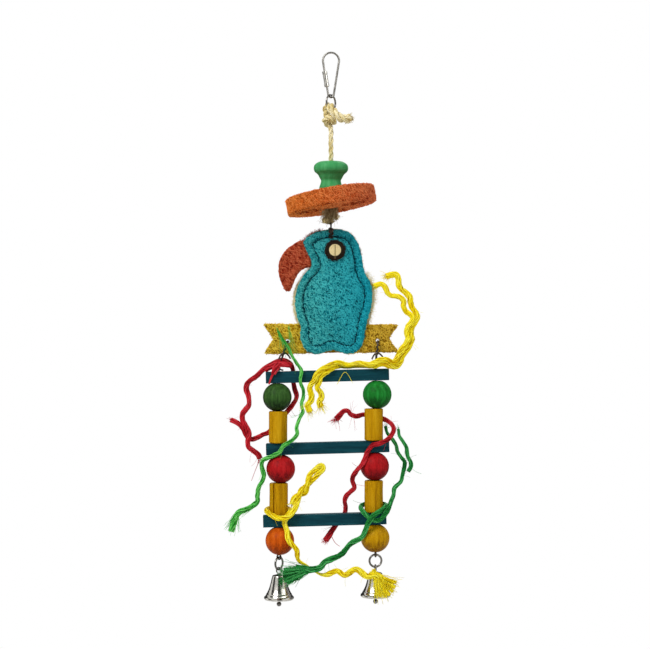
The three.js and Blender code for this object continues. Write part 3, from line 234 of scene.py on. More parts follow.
# The strands' routes, as the solids have them, with the yellow tail's plies drawn up to the pair below
STRAND_ROUTES = {
    "strand_red_upper": [
        (-0.0618, 0.0005, -0.3522), (-0.0632, 0, -0.349), (-0.0681, -0.001, -0.345),
        (-0.0716, -0.002, -0.3419), (-0.0721, -0.0025, -0.337), (-0.0712, -0.0025, -0.3309),
        (-0.0726, -0.0025, -0.3258), (-0.0752, -0.002, -0.3218), (-0.0771, -0.001, -0.3179),
        (-0.0769, 0, -0.3134), (-0.0746, 0, -0.3099), (-0.0716, 0, -0.3059), (-0.0712, -0.001, -0.3008),
        (-0.0721, -0.001, -0.2959), (-0.0736, -0.001, -0.2919), (-0.0729, -0.001, -0.2874),
        (-0.0696, -0.002, -0.2839), (-0.0646, -0.0025, -0.2804), (-0.0597, -0.0025, -0.2754),
        (-0.0546, -0.002, -0.2718), (-0.049, -0.001, -0.2688), (-0.0434, 0, -0.2668),
        (-0.0385, 0.002, -0.2676), (-0.035, 0.005, -0.2708), (-0.0331, 0.008, -0.277),
        (-0.0327, 0.0082, -0.2865), (-0.0317, 0.0065, -0.2919), (-0.0299, 0.005, -0.2986),
        (-0.0337, 0.007, -0.3059), (-0.0377, 0.0093, -0.3109), (-0.0461, 0.0105, -0.3204),
        (-0.0546, 0.009, -0.33), (-0.0597, 0.006, -0.332), (-0.0646, 0.004, -0.3344),
        (-0.0696, 0.003, -0.3357), (-0.073, 0.0025, -0.3335), (-0.0761, 0.0025, -0.3269),
        (-0.0792, 0.002, -0.3229), (-0.0831, 0.001, -0.3204), (-0.0871, 0, -0.3185),
    ],
    "strand_green_left": [
        (-0.0461, -0.008, -0.2408), (-0.0416, -0.009, -0.2487), (-0.0365, -0.0095, -0.2561),
        (-0.0342, -0.009, -0.2618), (-0.0297, -0.008, -0.2692), (-0.0257, -0.0078, -0.2754),
        (-0.0263, -0.0075, -0.2817), (-0.0263, -0.0075, -0.2863), (-0.024, -0.006, -0.292),
        (-0.024, -0.005, -0.2988), (-0.0257, -0.005, -0.3045), (-0.0245, -0.005, -0.3113),
        (-0.0268, -0.006, -0.3158), (-0.0297, -0.008, -0.3249), (-0.0291, -0.009, -0.33),
        (-0.0322, -0.0095, -0.3344), (-0.0371, -0.0095, -0.3379), (-0.0417, -0.0096, -0.341),
        (-0.0446, -0.0085, -0.3459), (-0.0486, -0.0074, -0.3484), (-0.0546, -0.007, -0.351),
        (-0.0586, -0.0065, -0.353), (-0.0601, -0.005, -0.357), (-0.0592, -0.005, -0.3619),
        (-0.0581, -0.006, -0.3664), (-0.0597, -0.005, -0.3714), (-0.0626, -0.004, -0.3764),
        (-0.0639, -0.003, -0.3844), (-0.0639, -0.002, -0.3893), (-0.0689, -0.002, -0.3938),
        (-0.0745, -0.002, -0.3965), (-0.0789, -0.002, -0.3982), (-0.0822, -0.002, -0.4016),
        (-0.0845, -0.002, -0.4071), (-0.0867, -0.002, -0.4154),
    ],
    "strand_yellow_tail": [
        (0.0376, 0, -0.2024), (0.0403, 0, -0.2009), (0.0442, -0.0005, -0.2004),
        (0.0473, -0.001, -0.2036), (0.0488, -0.001, -0.2074), (0.0519, -0.001, -0.2105),
        (0.0566, -0.001, -0.211), (0.0609, -0.001, -0.2125), (0.0632, -0.001, -0.2156),
        (0.063, -0.001, -0.2198), (0.0652, -0.001, -0.2241), (0.0695, -0.001, -0.2273),
        (0.0712, -0.001, -0.23), (0.0696, -0.001, -0.2339), (0.0669, -0.001, -0.2378),
        (0.0658, -0.001, -0.2427), (0.0672, -0.001, -0.2478), (0.0661, -0.0012, -0.2508),
    ],
    "strand_yellow_tail_end": [
        (0.048, 0, -0.1938), (0.0519, 0, -0.1927), (0.0566, 0, -0.1923), (0.0586, 0, -0.1958),
        (0.059, 0, -0.2009), (0.0609, 0.0005, -0.2047), (0.0647, 0.001, -0.2074),
        (0.0686, 0.001, -0.2118), (0.0694, 0.001, -0.2168), (0.0706, 0.001, -0.2206),
        (0.0734, 0.001, -0.2245), (0.075, 0.001, -0.2292), (0.073, 0.001, -0.2339),
        (0.0704, 0.001, -0.2378), (0.0693, 0.001, -0.2427), (0.0707, 0.001, -0.2478),
        (0.0696, 0.001, -0.2512),
    ],
    "strand_yellow_upper": [
        (0.0674, -0.001, -0.2474), (0.0648, -0.0014, -0.253), (0.0614, -0.0022, -0.2572),
        (0.0584, -0.0036, -0.262), (0.0564, -0.005, -0.2662), (0.0545, -0.0062, -0.2681),
        (0.0525, -0.0074, -0.2684), (0.0502, -0.0086, -0.2674), (0.0462, -0.0092, -0.266),
        (0.0422, -0.0094, -0.2664), (0.0384, -0.0092, -0.2682), (0.034, -0.0076, -0.2702),
        (0.0284, -0.0048, -0.2694), (0.0246, -0.003, -0.2686), (0.02, -0.002, -0.2698),
        (0.0158, -0.0018, -0.2708), (0.0108, -0.0018, -0.2698), (0.0078, -0.0034, -0.2688),
        (0.0026, -0.0068, -0.2694), (-0.0031, -0.0096, -0.2718), (-0.0084, -0.0096, -0.2748),
        (-0.0128, -0.0094, -0.2797), (-0.0144, -0.009, -0.284), (-0.018, -0.0075, -0.2888),
        (-0.0184, -0.0065, -0.2921), (-0.017, -0.0055, -0.2971), (-0.0173, -0.005, -0.3015),
        (-0.02, -0.005, -0.3051), (-0.0184, -0.005, -0.3114),
    ],
    "strand_yellow_upper_ply": [
        (0.071, 0.001, -0.2474), (0.0674, 0.001, -0.2556), (0.0638, 0.0004, -0.2599),
        (0.0617, -0.0008, -0.2636), (0.06, -0.0022, -0.2684), (0.0566, -0.0042, -0.272),
        (0.052, -0.0066, -0.272), (0.0489, -0.0078, -0.271), (0.0462, -0.0082, -0.2702),
        (0.0422, -0.008, -0.2704), (0.0394, -0.007, -0.2716), (0.035, -0.0038, -0.2722),
        (0.0284, 0.0004, -0.2718), (0.0246, 0.0014, -0.2716), (0.02, 0.0018, -0.2718),
        (0.0158, 0.002, -0.2722), (0.0108, 0.0018, -0.272), (0.0078, 0.0006, -0.2718),
        (0.0034, -0.0046, -0.2727), (-0.0009, -0.0077, -0.2749), (-0.0064, -0.0076, -0.278),
        (-0.0092, -0.0076, -0.2811), (-0.0102, -0.0076, -0.2856), (-0.0122, -0.0075, -0.2898),
        (-0.0089, -0.006, -0.2948), (-0.008, -0.005, -0.2981), (-0.01, -0.005, -0.3031),
        (-0.0087, -0.005, -0.3071),
    ],
    "strand_red_right": [
        (0.0043, 0, -0.3179), (0.0073, 0, -0.3149), (0.0112, 0, -0.3109), (0.0148, 0.001, -0.3109),
        (0.0172, 0.002, -0.3139), (0.0227, 0.004, -0.3156), (0.0283, 0.0085, -0.3144),
        (0.0365, 0.0104, -0.3161), (0.0452, 0.0085, -0.3179), (0.0497, 0.004, -0.3199),
        (0.0537, 0, -0.3234), (0.0542, -0.004, -0.3279), (0.0517, -0.007, -0.3324),
        (0.0472, -0.0095, -0.3359), (0.0412, -0.0104, -0.3386), (0.0362, -0.0085, -0.3398),
        (0.0332, -0.0074, -0.3434), (0.0307, -0.0078, -0.3479), (0.0287, -0.0097, -0.3529),
        (0.0258, -0.0092, -0.3578), (0.0218, -0.008, -0.3624), (0.0192, -0.006, -0.3669),
        (0.0185, -0.003, -0.3709), (0.0203, 0, -0.3777), (0.0172, 0.001, -0.3811),
        (0.0137, 0.003, -0.3846), (0.012, 0.005, -0.3897), (0.0128, 0.0078, -0.3952),
        (0.012, 0.0084, -0.4005), (0.0095, 0.0082, -0.405), (0.0048, 0.0078, -0.4106),
        (0.0005, 0.005, -0.4164), (-0.0049, 0.003, -0.4238),
    ],
    "strand_green_right": [
        (0.0476, 0.0045, -0.3245), (0.049, 0.0025, -0.33), (0.0542, 0.001, -0.3363),
        (0.0567, 0, -0.3409), (0.0577, 0, -0.3459), (0.0612, 0, -0.3514), (0.064, 0, -0.3554),
        (0.0622, 0, -0.3669), (0.0607, -0.001, -0.3722), (0.0552, -0.003, -0.3777),
        (0.0542, -0.005, -0.3831), (0.0517, -0.007, -0.3892), (0.0492, -0.0092, -0.3955),
        (0.0463, -0.0105, -0.4), (0.0418, -0.0107, -0.4042), (0.0372, -0.0107, -0.4044),
        (0.0318, -0.0105, -0.4015), (0.0275, -0.0075, -0.397), (0.026, 0, -0.3945),
        (0.029, 0.0077, -0.393), (0.0372, 0.0106, -0.392), (0.0455, 0.0077, -0.3926),
        (0.0482, 0.002, -0.393), (0.0468, -0.0044, -0.3942), (0.0435, -0.009, -0.3962),
        (0.039, -0.0127, -0.3985), (0.035, -0.0145, -0.4015), (0.0325, -0.0142, -0.4056),
        (0.0296, -0.0115, -0.413), (0.0267, -0.01, -0.4191), (0.0168, -0.009, -0.4251),
        (0.0092, -0.011, -0.4336), (0.0005, -0.012, -0.4378), (-0.0057, -0.013, -0.4405),
        (-0.0092, -0.0144, -0.4447), (-0.0162, -0.0154, -0.4467), (-0.022, -0.016, -0.4471),
        (-0.0278, -0.016, -0.4444), (-0.032, -0.0163, -0.4465),
    ],
    "strand_green_right_ply": [
        (0.0584, -0.0065, -0.3264), (0.059, -0.005, -0.3319), (0.0622, -0.004, -0.3369),
        (0.0652, -0.004, -0.3419), (0.0659, -0.004, -0.3469), (0.067, -0.003, -0.3509),
        (0.0694, -0.002, -0.3554), (0.0692, -0.0015, -0.3594), (0.067, -0.001, -0.3633),
    ],
    "strand_yellow_lower": [
        (-0.034, -0.006, -0.3915), (-0.0323, -0.005, -0.3863), (-0.0273, -0.002, -0.3835),
        (-0.0223, -0.004, -0.3816), (-0.0208, -0.006, -0.3755), (-0.0188, -0.004, -0.3667),
        (-0.014, -0.004, -0.3616), (-0.008, -0.004, -0.3576), (-0.0064, -0.004, -0.3606),
        (-0.011, -0.004, -0.365), (-0.015, -0.004, -0.3695), (-0.021, -0.002, -0.3755),
        (-0.0258, -0.004, -0.3789), (-0.0273, -0.006, -0.3835), (-0.0287, -0.0064, -0.3888),
        (-0.0335, -0.0104, -0.3985), (-0.0383, -0.0114, -0.4018), (-0.0461, -0.0112, -0.4026),
        (-0.0508, -0.0096, -0.4005), (-0.0547, -0.005, -0.3982), (-0.0562, 0, -0.3972),
        (-0.0535, 0.0068, -0.3965), (-0.0455, 0.0104, -0.3962), (-0.0378, 0.007, -0.3968),
        (-0.0352, 0.001, -0.3974), (-0.0356, -0.0046, -0.3984), (-0.0374, -0.0073, -0.4006),
        (-0.0403, -0.0073, -0.4065), (-0.038, -0.0092, -0.4137), (-0.0364, -0.0122, -0.4215),
        (-0.0298, -0.0112, -0.43), (-0.0282, -0.0115, -0.4389), (-0.0197, -0.011, -0.4442),
        (-0.0104, -0.011, -0.4506), (-0.0045, -0.012, -0.4514), (0.0054, -0.014, -0.4478),
        (0.0117, -0.015, -0.4512), (0.0216, -0.016, -0.4461), (0.0308, -0.0162, -0.452),
        (0.0399, -0.0163, -0.4507), (0.0432, -0.0163, -0.4533),
    ],
}


def srgb(code):
    """A colour as the renderer takes it, from its six-figure screen code."""
    channels = [int(code[i:i + 2], 16) / 255 for i in (0, 2, 4)]
    linear = [c / 12.92 if c <= 0.04045 else ((c + 0.055) / 1.055) ** 2.4 for c in channels]
    return (*linear, 1)


def unit_turn(angle):
    """A unit direction in a plane."""
    return math.cos(angle), math.sin(angle)


# Shader building
def add_node(tree, kind, values=None, links=None, **settings):
    """A node with its settings, its socket values and what feeds it."""
    made = tree.nodes.new(kind)
    for key, value in settings.items():
        setattr(made, key, value)
    for key, value in (values or {}).items():
        made.inputs[key].default_value = value
    for key, socket in (links or {}).items():
        tree.links.new(socket, made.inputs[key])
    return made


def finish(name):
    """A new finish with its node tree and its shader."""
    material = bpy.data.materials.new(name)
    material.use_nodes = True
    return material, material.node_tree, material.node_tree.nodes["Principled BSDF"]


def plain_grey(shader, shade, roughness):
    """One grey all over."""
    shader.inputs["Base Color"].default_value = (shade, shade, shade, 1)
    shader.inputs["Roughness"].default_value = roughness


def dull(shader, roughness, shine):
    """How rough a finish is and how much of the light it throws back, all over."""
    shader.inputs["Roughness"].default_value = roughness
    shader.inputs["Specular IOR Level"].default_value = shine


def object_place(tree):
    return add_node(tree, "ShaderNodeTexCoord").outputs["Object"]


def own_shade(tree):
    return add_node(tree, "ShaderNodeAttribute", attribute_name="shade").outputs["Fac"]


def speckle(tree, place, scale, detail=2.0, roughness=0.5):
    values = {"Scale": scale, "Detail": detail, "Roughness": roughness}
    return add_node(tree, "ShaderNodeTexNoise", values, {"Vector": place}).outputs["Fac"]


def scaled_sum(tree, source, factor, offset):
    """source * factor + offset, where offset may be a number or another socket."""
    made = add_node(tree, "ShaderNodeMath", {1: factor}, {0: source}, operation="MULTIPLY_ADD")
    if isinstance(offset, (int, float)):
        made.inputs[2].default_value = offset
    else:
        tree.links.new(offset, made.inputs[2])
    return made.outputs[0]


def ramp(tree, level, *stops):
    """Colours along a level, from stops of a place and a screen code."""
    made = add_node(tree, "ShaderNodeValToRGB", links={"Fac": level})
    elements = made.color_ramp.elements
    while len(elements) < len(stops):
        elements.new(0.5)
    for element, (place, code) in zip(elements, stops):
        element.position = place
        element.color = srgb(code)
    return made.outputs["Color"]


def mottled(tree, place, *speckles):
    """A piece's own shade made uneven by speckles, each given as its scale, detail and amount."""
    level = own_shade(tree)
    for scale, detail, amount in speckles:
        level = scaled_sum(tree, speckle(tree, place, scale, detail), amount, level)
    return scaled_sum(tree, level, 1, -sum(amount for _, _, amount in speckles) / 2)


def blend_colours(tree, level, first, second):
    made = add_node(tree, "ShaderNodeMix", links={0: level, 6: first, 7: second}, data_type="RGBA")
    return made.outputs[2]


def bumped(tree, shader, height, strength, distance):
    bump = add_node(tree, "ShaderNodeBump", {"Strength": strength, "Distance": distance}, {"Height": height})
    tree.links.new(bump.outputs["Normal"], shader.inputs["Normal"])


# Finishes
def loofah(name, pit, body, tip, far=None):
    """Dyed loofah: fibres of many shades over a body coloured dark, which is painted shade in the pits
    between the fibres, with another body and tip towards the right.
    """
    material, tree, shader = finish(name)
    place = object_place(tree)
    level = mottled(tree, place, (170, 2, 0.5), (1300, 3, 0.35))
    # The pit colour is painted shade on the dark body under the fibres, and also the tone of the darkest
    # fibres
    colour = ramp(tree, level, (0.05, pit), (0.55, body), (1.0, tip))
    if far:
        split = add_node(tree, "ShaderNodeSeparateXYZ", links={0: place}).outputs["X"]
        span = {"From Min": FAR_FROM, "From Max": FAR_TO}
        across = add_node(tree, "ShaderNodeMapRange", span, {"Value": split}).outputs[0]
        far_colour = ramp(tree, level, (0.05, pit), (0.55, far[0]), (1.0, far[1]))
        colour = blend_colours(tree, across, colour, far_colour)
    tree.links.new(colour, shader.inputs["Base Color"])
    dull(shader, roughness=0.85, shine=0.06)
    bumped(tree, shader, speckle(tree, place, 1100, 4, 0.7), strength=0.5, distance=0.0006)
    return material


def stained_wood(name, stain, grain, light, along, painted_shade=False):
    """Satin stained wood with its grain drawn out along one axis, and, where asked, painted shade from each
    piece's own shade.
    """
    material, tree, shader = finish(name)
    stretch = [1, 1, 1]
    stretch[along] = GRAIN_STRETCH
    drawn = add_node(tree, "ShaderNodeMapping", {"Scale": stretch}, {"Vector": object_place(tree)})
    drawn = drawn.outputs["Vector"]
    fine = speckle(tree, drawn, 1500, 4, 0.6)
    level = scaled_sum(tree, speckle(tree, drawn, 330, 3), 0.6, scaled_sum(tree, fine, 0.4, 0))
    # Painted shade: a piece's own shade darkens its colour, on the balls towards the bottom
    if painted_shade:
        level = scaled_sum(tree, scaled_sum(tree, own_shade(tree), 1, -0.5), 1, level)
    colour = ramp(tree, level, (0.28, grain), (0.5, stain), (0.78, light))
    tree.links.new(colour, shader.inputs["Base Color"])
    shader.inputs["Specular IOR Level"].default_value = 0.06
    tree.links.new(scaled_sum(tree, fine, 0.2, 0.36), shader.inputs["Roughness"])
    bumped(tree, shader, level, strength=0.1, distance=0.0002)
    return material


def plated(name, colour, worn, roughness):
    """Plated wire or sheet with cloudy polish."""
    material, tree, shader = finish(name)
    place = object_place(tree)
    cloud = speckle(tree, place, 260, 4, 0.6)
    tree.links.new(ramp(tree, cloud, (0.35, worn), (0.6, colour)), shader.inputs["Base Color"])
    tree.links.new(scaled_sum(tree, cloud, 0.12, roughness - 0.06), shader.inputs["Roughness"])
    shader.inputs["Metallic"].default_value = 1
    bumped(tree, shader, speckle(tree, place, 900), strength=0.05, distance=0.00002)
    return material


def sisal(name, deep, body, light):
    """Sisal fibre, each fibre in its own shade."""
    material, tree, shader = finish(name)
    place = object_place(tree)
    level = mottled(tree, place, (420, 3, 0.5), (80, 2, 0.8))
    colour = ramp(tree, level, (0.05, deep), (0.5, body), (1.0, light))
    tree.links.new(colour, shader.inputs["Base Color"])
    dull(shader, roughness=0.6, shine=0.1)
    bumped(tree, shader, speckle(tree, place, 2400, 3), strength=0.3, distance=0.0002)
    return material


def felt(name, deep, body):
    """Pressed felt."""
    material, tree, shader = finish(name)
    place = object_place(tree)
    shade = scaled_sum(tree, own_shade(tree), 0.4, -0.2)
    level = scaled_sum(tree, speckle(tree, place, 1500, 4, 0.7), 0.8, shade)
    tree.links.new(ramp(tree, level, (0.25, deep), (0.7, body)), shader.inputs["Base Color"])
    dull(shader, roughness=0.95, shine=0.03)
    bumped(tree, shader, speckle(tree, place, 1900, 4), strength=0.5, distance=0.0004)
    return material


NICKEL = plated("bright_nickel", "D2CFC6", "ADABA4", 0.16)
# The link's nickel is a darker, rougher copy of the bright nickel on the same metal: its darker colour is
# painted shade
LINK_NICKEL = plated("link_nickel", "A9A69F", "7E7B75", 0.34)
STEEL = plated("dull_steel", "8B8883", "5F5C57", 0.25)
DARK_WIRE = plated("dark_wire", "564D45", "2F2924", 0.35)
TEAL = loofah("teal_loofah", "022833", "058890", "5CCCC6", ("0092A6", "26BACA"))
CREAM = loofah("cream_loofah", "C4B684", "F4EABC", "FFFAE6")
BRICK = loofah("brick_loofah", "460C05", "AA341B", "D26C48")
MUSTARD = loofah("mustard_loofah", "5C3A06", "CFA010", "F4D84A", ("B88A14", "E6C244"))
ORANGE = loofah("orange_loofah", "6E2206", "DC6A1A", "F29C50", ("D0522A", "EC8A58"))
FELT = felt("dark_felt", "1C1511", "463A30")
EYE_CREAM = felt("cream_eye_felt", "C9B57C", "EFE1B0")
EYE_THREAD = felt("eye_thread", "5E4A2C", "94805A")
THREAD = sisal("dark_thread", "043A46", "07525E", "0C6A74")
# Stained woods: stain, grain, light, the axis that the grain runs along and whether painted shade from each
# piece's own shade darkens it
WOODS = {
    name: stained_wood(f"{name}_wood", *values) for name, values in {
        "deep_teal": ("0F3E48", "082C36", "18545E", 0),
        "spool_green": ("45A05E", "358C50", "60B476", 2),
        "olive": ("325524", "152A0F", "507C3C", 2, True),
        "green": ("1C7A2A", "0F4A16", "309C44", 2, True),
        "red": ("AC181C", "6E0A10", "C82E32", 2, True),
        "orange": ("C65206", "8E3604", "DC6E1E", 2, True),
        "yellow": ("BE8C02", "845800", "D4A820", 2, True),
    }.items()
}
SISAL = {
    dye: sisal(f"{dye}_sisal", *codes) for dye, codes in {
        "natural": ("9A7B3E", "E2CE8C", "F6EBC4"),
        # The frayed sisal is a darker copy of the natural sisal: painted shade on the fray of the rope's
        # lower knot
        "frayed": ("564326", "A0875A", "D8C79A"),
        "red": ("6C0811", "B81420", "DA3C46"),
        "green": ("125E1C", "36AC38", "7CD86C"),
        "dark_green": ("0A4218", "1F8A3A", "56BC68"),
        "yellow": ("C08C00", "FCE602", "FFF650"),
    }.items()
}


# Mesh building
class Parts:
    """Points and faces gathered for one piece, with a shade for each point."""

    def __init__(self):
        self.points = []
        self.faces = []
        self.shades = []

    def add(self, points, faces, shade=0.5):
        first = len(self.points)
        self.points.extend(points)
        self.faces.extend([tuple(first + corner for corner in face) for face in faces])
        self.shades.extend([shade] * len(points))

    def mesh(self, name):
        made = bpy.data.meshes.new(name)
        made.from_pydata(self.points, [], self.faces)
        made.attributes.new("shade", "FLOAT", "POINT").data.foreach_set("value", self.shades)
        return made


def add_piece(name, mesh, material, body, slot, *nodes, edge_angle=None):
    """A finished piece that rides on a body and stands for the solids it names."""
    mesh.name = name
    mesh.materials.clear()
    mesh.materials.append(material)
    mesh.shade_smooth()
    if edge_angle:
        mesh.set_sharp_from_angle(angle=math.radians(edge_angle))
    made = bpy.data.objects.new(name, mesh)
    bpy.context.collection.objects.link(made)
    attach(made, body)
    if nodes:
        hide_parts(*nodes)
    return made


def frames_along(path):
    """The direction, an upright and a side at each point of a path, carried along it without twisting."""
    upright = None
    frames = []
    for i in range(len(path)):
        ahead = (path[min(i + 1, len(path) - 1)] - path[max(i - 1, 0)]).normalized()
        if upright is None:
            upright = ahead.orthogonal()
        upright = (upright - ahead * upright.dot(ahead)).normalized()
        frames.append((ahead, upright, ahead.cross(upright)))
    return frames


def tube(parts, path, radius, sides, shade=0.5):
    """A round tube along a path, closed at both ends, with one radius or one for each point."""
    radii = radius if isinstance(radius, list) else [radius] * len(path)
    turns = [unit_turn(2 * math.pi * corner / sides) for corner in range(sides)]
    points = []
    for point, (_, upright, side), reach in zip(path, frames_along(path), radii):
        points.extend(point + (upright * up + side * across) * reach for up, across in turns)
    faces = []
    for ring in range(0, (len(path) - 1) * sides, sides):
        for corner in range(sides):
            here, there = ring + corner, ring + (corner + 1) % sides
            faces.append((here, there, there + sides, here + sides))
    faces.append(tuple(reversed(range(sides))))
    faces.append(tuple(range(len(points) - sides, len(points))))
    parts.add(points, faces, shade)


def smooth_route(points, step):
    """Points evenly spaced along a centripetal spline through the given points."""
    knots = [Vector(point) for point in points]
    knots = [knots[0] * 2 - knots[1], *knots, knots[-1] * 2 - knots[-2]]
    fine = []
    for before, start, end, after in zip(knots, knots[1:], knots[2:], knots[3:]):
        gaps = [math.sqrt((b - a).length) for a, b in ((before, start), (start, end), (end, after))]
        lead = (start - before) / gaps[0] - (end - before) / (gaps[0] + gaps[1]) + (end - start) / gaps[1]
        tail = (end - start) / gaps[1] - (after - start) / (gaps[1] + gaps[2]) + (after - end) / gaps[2]
        lead *= gaps[1]
        tail *= gaps[1]
        bend = (end - start) * 3 - lead * 2 - tail
        close = (start - end) * 2 + lead + tail
        for i in range(SPLINE_STEPS):
            t = i / SPLINE_STEPS
            fine.append(start + lead * t + bend * t ** 2 + close * t ** 3)
    fine.append(knots[-2])
    return evenly(fine, step)


def evenly(line, step):
    """The same line with evenly spaced points about a step apart."""
    reach = run_length(line)
    count = max(2, round(reach[-1] / step))
    even = []
    leg = 0
    for i in range(count + 1):
        target = reach[-1] * i / count
        while leg < len(line) - 2 and reach[leg + 1] < target:
            leg += 1
        span = reach[leg + 1] - reach[leg]
        even.append(line[leg].lerp(line[leg + 1], (target - reach[leg]) / span if span else 0))
    return even


def run_length(line):
    """How far along a line each of its points is."""
    reach = [0.0]
    for before, after in zip(line, line[1:]):
        reach.append(reach[-1] + (after - before).length)
    return reach


def wound(path, radius, turns):
    """A line wound round a path."""
    line = []
    for i, (point, (_, upright, side)) in enumerate(zip(path, frames_along(path))):
        up, across = unit_turn(2 * math.pi * turns * i / (len(path) - 1))
        line.append(point + (upright * up + side * across) * radius)
    return line


def lathe(profile, segments):
    """A turned body about Z from (radius, height) points. A bored body's profile closes on itself."""
    rings = []
    points = []
    for radius, height in profile:
        pole = radius < TOUCHING
        rings.append([len(points)] * segments if pole else list(range(len(points), len(points) + segments)))
        for i in range(1 if pole else segments):
            across, along = unit_turn(2 * math.pi * i / segments)
            points.append(Vector((radius * across, radius * along, height)))
    if profile[0][0] >= TOUCHING:
        rings.append(rings[0])
    faces = []
    for ring, following in zip(rings, rings[1:]):
        for i in range(segments):
            j = (i + 1) % segments
            corners = dict.fromkeys((ring[i], ring[j], following[j], following[i]))
            faces.append(tuple(corners))
    parts = Parts()
    parts.add(points, faces)
    return parts


def outward(mesh):
    """Turns every closed shell of a mesh the right way out."""
    shape = bmesh.new()
    shape.from_mesh(mesh)
    bmesh.ops.recalc_face_normals(shape, faces=shape.faces)
    shape.to_mesh(mesh)
    shape.free()
    return mesh


def smooth_profile(points, step):
    """A turned profile rounded through its points."""
    line = smooth_route([(radius, 0, height) for radius, height in points], step)
    return [(max(point.x, 0), point.z) for point in line]


def cad_copy(node):
    """A copy of a solid's mesh with its loose corners merged."""
    shape = bmesh.new()
    shape.from_mesh(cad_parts[node].data)
    bmesh.ops.remove_doubles(shape, verts=shape.verts, dist=TOUCHING)
    mesh = bpy.data.meshes.new(f"{node}_copy")
    shape.to_mesh(mesh)
    shape.free()
    return mesh


def with_modifiers(mesh, *settings):
    """A mesh after modifiers, each given as its kind and its values."""
    holder = bpy.data.objects.new("holder", mesh)
    bpy.context.collection.objects.link(holder)
    for kind, values in settings:
        modifier = holder.modifiers.new(kind.lower(), kind)
        for key, value in values.items():
            setattr(modifier, key, value)
    return plain_mesh(holder)


def plain_mesh(holder):
    """The evaluated mesh of an object, which is then removed."""
    bpy.context.view_layer.update()
    graph = bpy.context.evaluated_depsgraph_get()
    mesh = bpy.data.meshes.new_from_object(
        holder.evaluated_get(graph), preserve_all_data_layers=True, depsgraph=graph,
    )
    bpy.data.objects.remove(holder)
    return mesh


def only_faces(mesh, keep):
    """A copy of a mesh with only the faces that keep(middle, normal) picks."""
    shape = bmesh.new()
    shape.from_mesh(mesh)
    unwanted = [face for face in shape.faces if not keep(face.calc_center_median(), face.normal)]
    bmesh.ops.delete(shape, geom=unwanted, context="FACES")
    kept = bpy.data.meshes.new("kept_faces")
    shape.to_mesh(kept)
    shape.free()
    return kept


# Node trees for what repeats over a surface or along a line
def new_tree(name, inputs):
    """A geometry tree with named inputs, its input node and its output node."""
    tree = bpy.data.node_groups.new(name, "GeometryNodeTree")
    for label, kind in inputs:
        tree.interface.new_socket(label, in_out="INPUT", socket_type="NodeSocket" + kind)
    tree.interface.new_socket("Pieces", in_out="OUTPUT", socket_type="NodeSocketGeometry")
    return tree, tree.nodes.new("NodeGroupInput").outputs, tree.nodes.new("NodeGroupOutput").inputs


def random_number(tree, low, high, seed):
    """A random number for each point between two numbers."""
    made = add_node(tree, "FunctionNodeRandomValue", data_type="FLOAT")
    named = {socket.identifier: socket for socket in made.inputs}
    named["Min_001"].default_value = low
    named["Max_001"].default_value = high
    tree.links.new(seed, named["Seed"])
    return next(socket for socket in made.outputs if socket.identifier == "Value_001")


FIBRE_INPUTS = [
    ("Thickness", "Float"), ("Start", "Vector"), ("Middle", "Vector"), ("End", "Vector"), ("Steps", "Int"),
    ("Smallest", "Float"), ("Darkest", "Float"), ("Lightest", "Float"), ("Seed", "Int"),
    ("Finish", "Material"),
]


def bent_fibre(tree, given):
    """One fibre: a bent line with a three-sided section."""
    bend = {label: given[label] for label in ("Start", "Middle", "End")}
    line = add_node(tree, "GeometryNodeCurveQuadraticBezier", links={"Resolution": given["Steps"], **bend})
    section = add_node(
        tree, "GeometryNodeCurvePrimitiveCircle", {"Resolution": 3}, {"Radius": given["Thickness"]},
        mode="RADIUS",
    )
    return add_node(
        tree, "GeometryNodeCurveToMesh", {"Fill Caps": True},
        {"Curve": line.outputs[0], "Profile Curve": section.outputs[0]},
    ).outputs[0]


def realised(tree, given, instances, output):
    """Gives each instance its shade, makes the instances real and sets their finish."""
    chance = random_number(tree, 0, 1, given["Seed"])
    shade = add_node(
        tree, "ShaderNodeMapRange",
        links={"Value": chance, "To Min": given["Darkest"], "To Max": given["Lightest"]},
    )
    shaded = add_node(
        tree, "GeometryNodeStoreNamedAttribute", {"Name": "shade"},
        {"Geometry": instances, "Value": shade.outputs[0]}, data_type="FLOAT", domain="INSTANCE",
    )
    real = add_node(tree, "GeometryNodeRealizeInstances", links={0: shaded.outputs[0]})
    dressed = add_node(
        tree, "GeometryNodeSetMaterial", links={"Geometry": real.outputs[0], "Material": given["Finish"]},
    )
    tree.links.new(dressed.outputs[0], output["Pieces"])


def scattered_fibres_tree():
    """Fibres strewn over a surface, each turned at random in the surface."""
    inputs = [("Surface", "Geometry"), ("Density", "Float"), *FIBRE_INPUTS]
    tree, given, output = new_tree("scattered_fibres", inputs)
    strewn = add_node(
        tree, "GeometryNodeDistributePointsOnFaces",
        links={"Mesh": given["Surface"], "Density": given["Density"], "Seed": given["Seed"]},
    )
    turn = add_node(
        tree, "FunctionNodeAxisAngleToRotation", {"Axis": (0, 0, 1)},
        {"Angle": random_number(tree, 0, 2 * math.pi, given["Seed"])},
    )
    turned = add_node(
        tree, "FunctionNodeRotateRotation",
        links={"Rotation": strewn.outputs["Rotation"], "Rotate By": turn.outputs[0]}, rotation_space="LOCAL",
    )
    size = add_node(
        tree, "ShaderNodeMapRange", {"To Max": LARGEST_FIBRE},
        {"Value": random_number(tree, 0, 1, given["Seed"]), "To Min": given["Smallest"]},
    )
    placed = add_node(
        tree, "GeometryNodeInstanceOnPoints",
        links={"Points": strewn.outputs["Points"], "Instance": bent_fibre(tree, given),
               "Rotation": turned.outputs[0], "Scale": size.outputs[0]},
    )
    realised(tree, given, placed.outputs[0], output)
    return tree


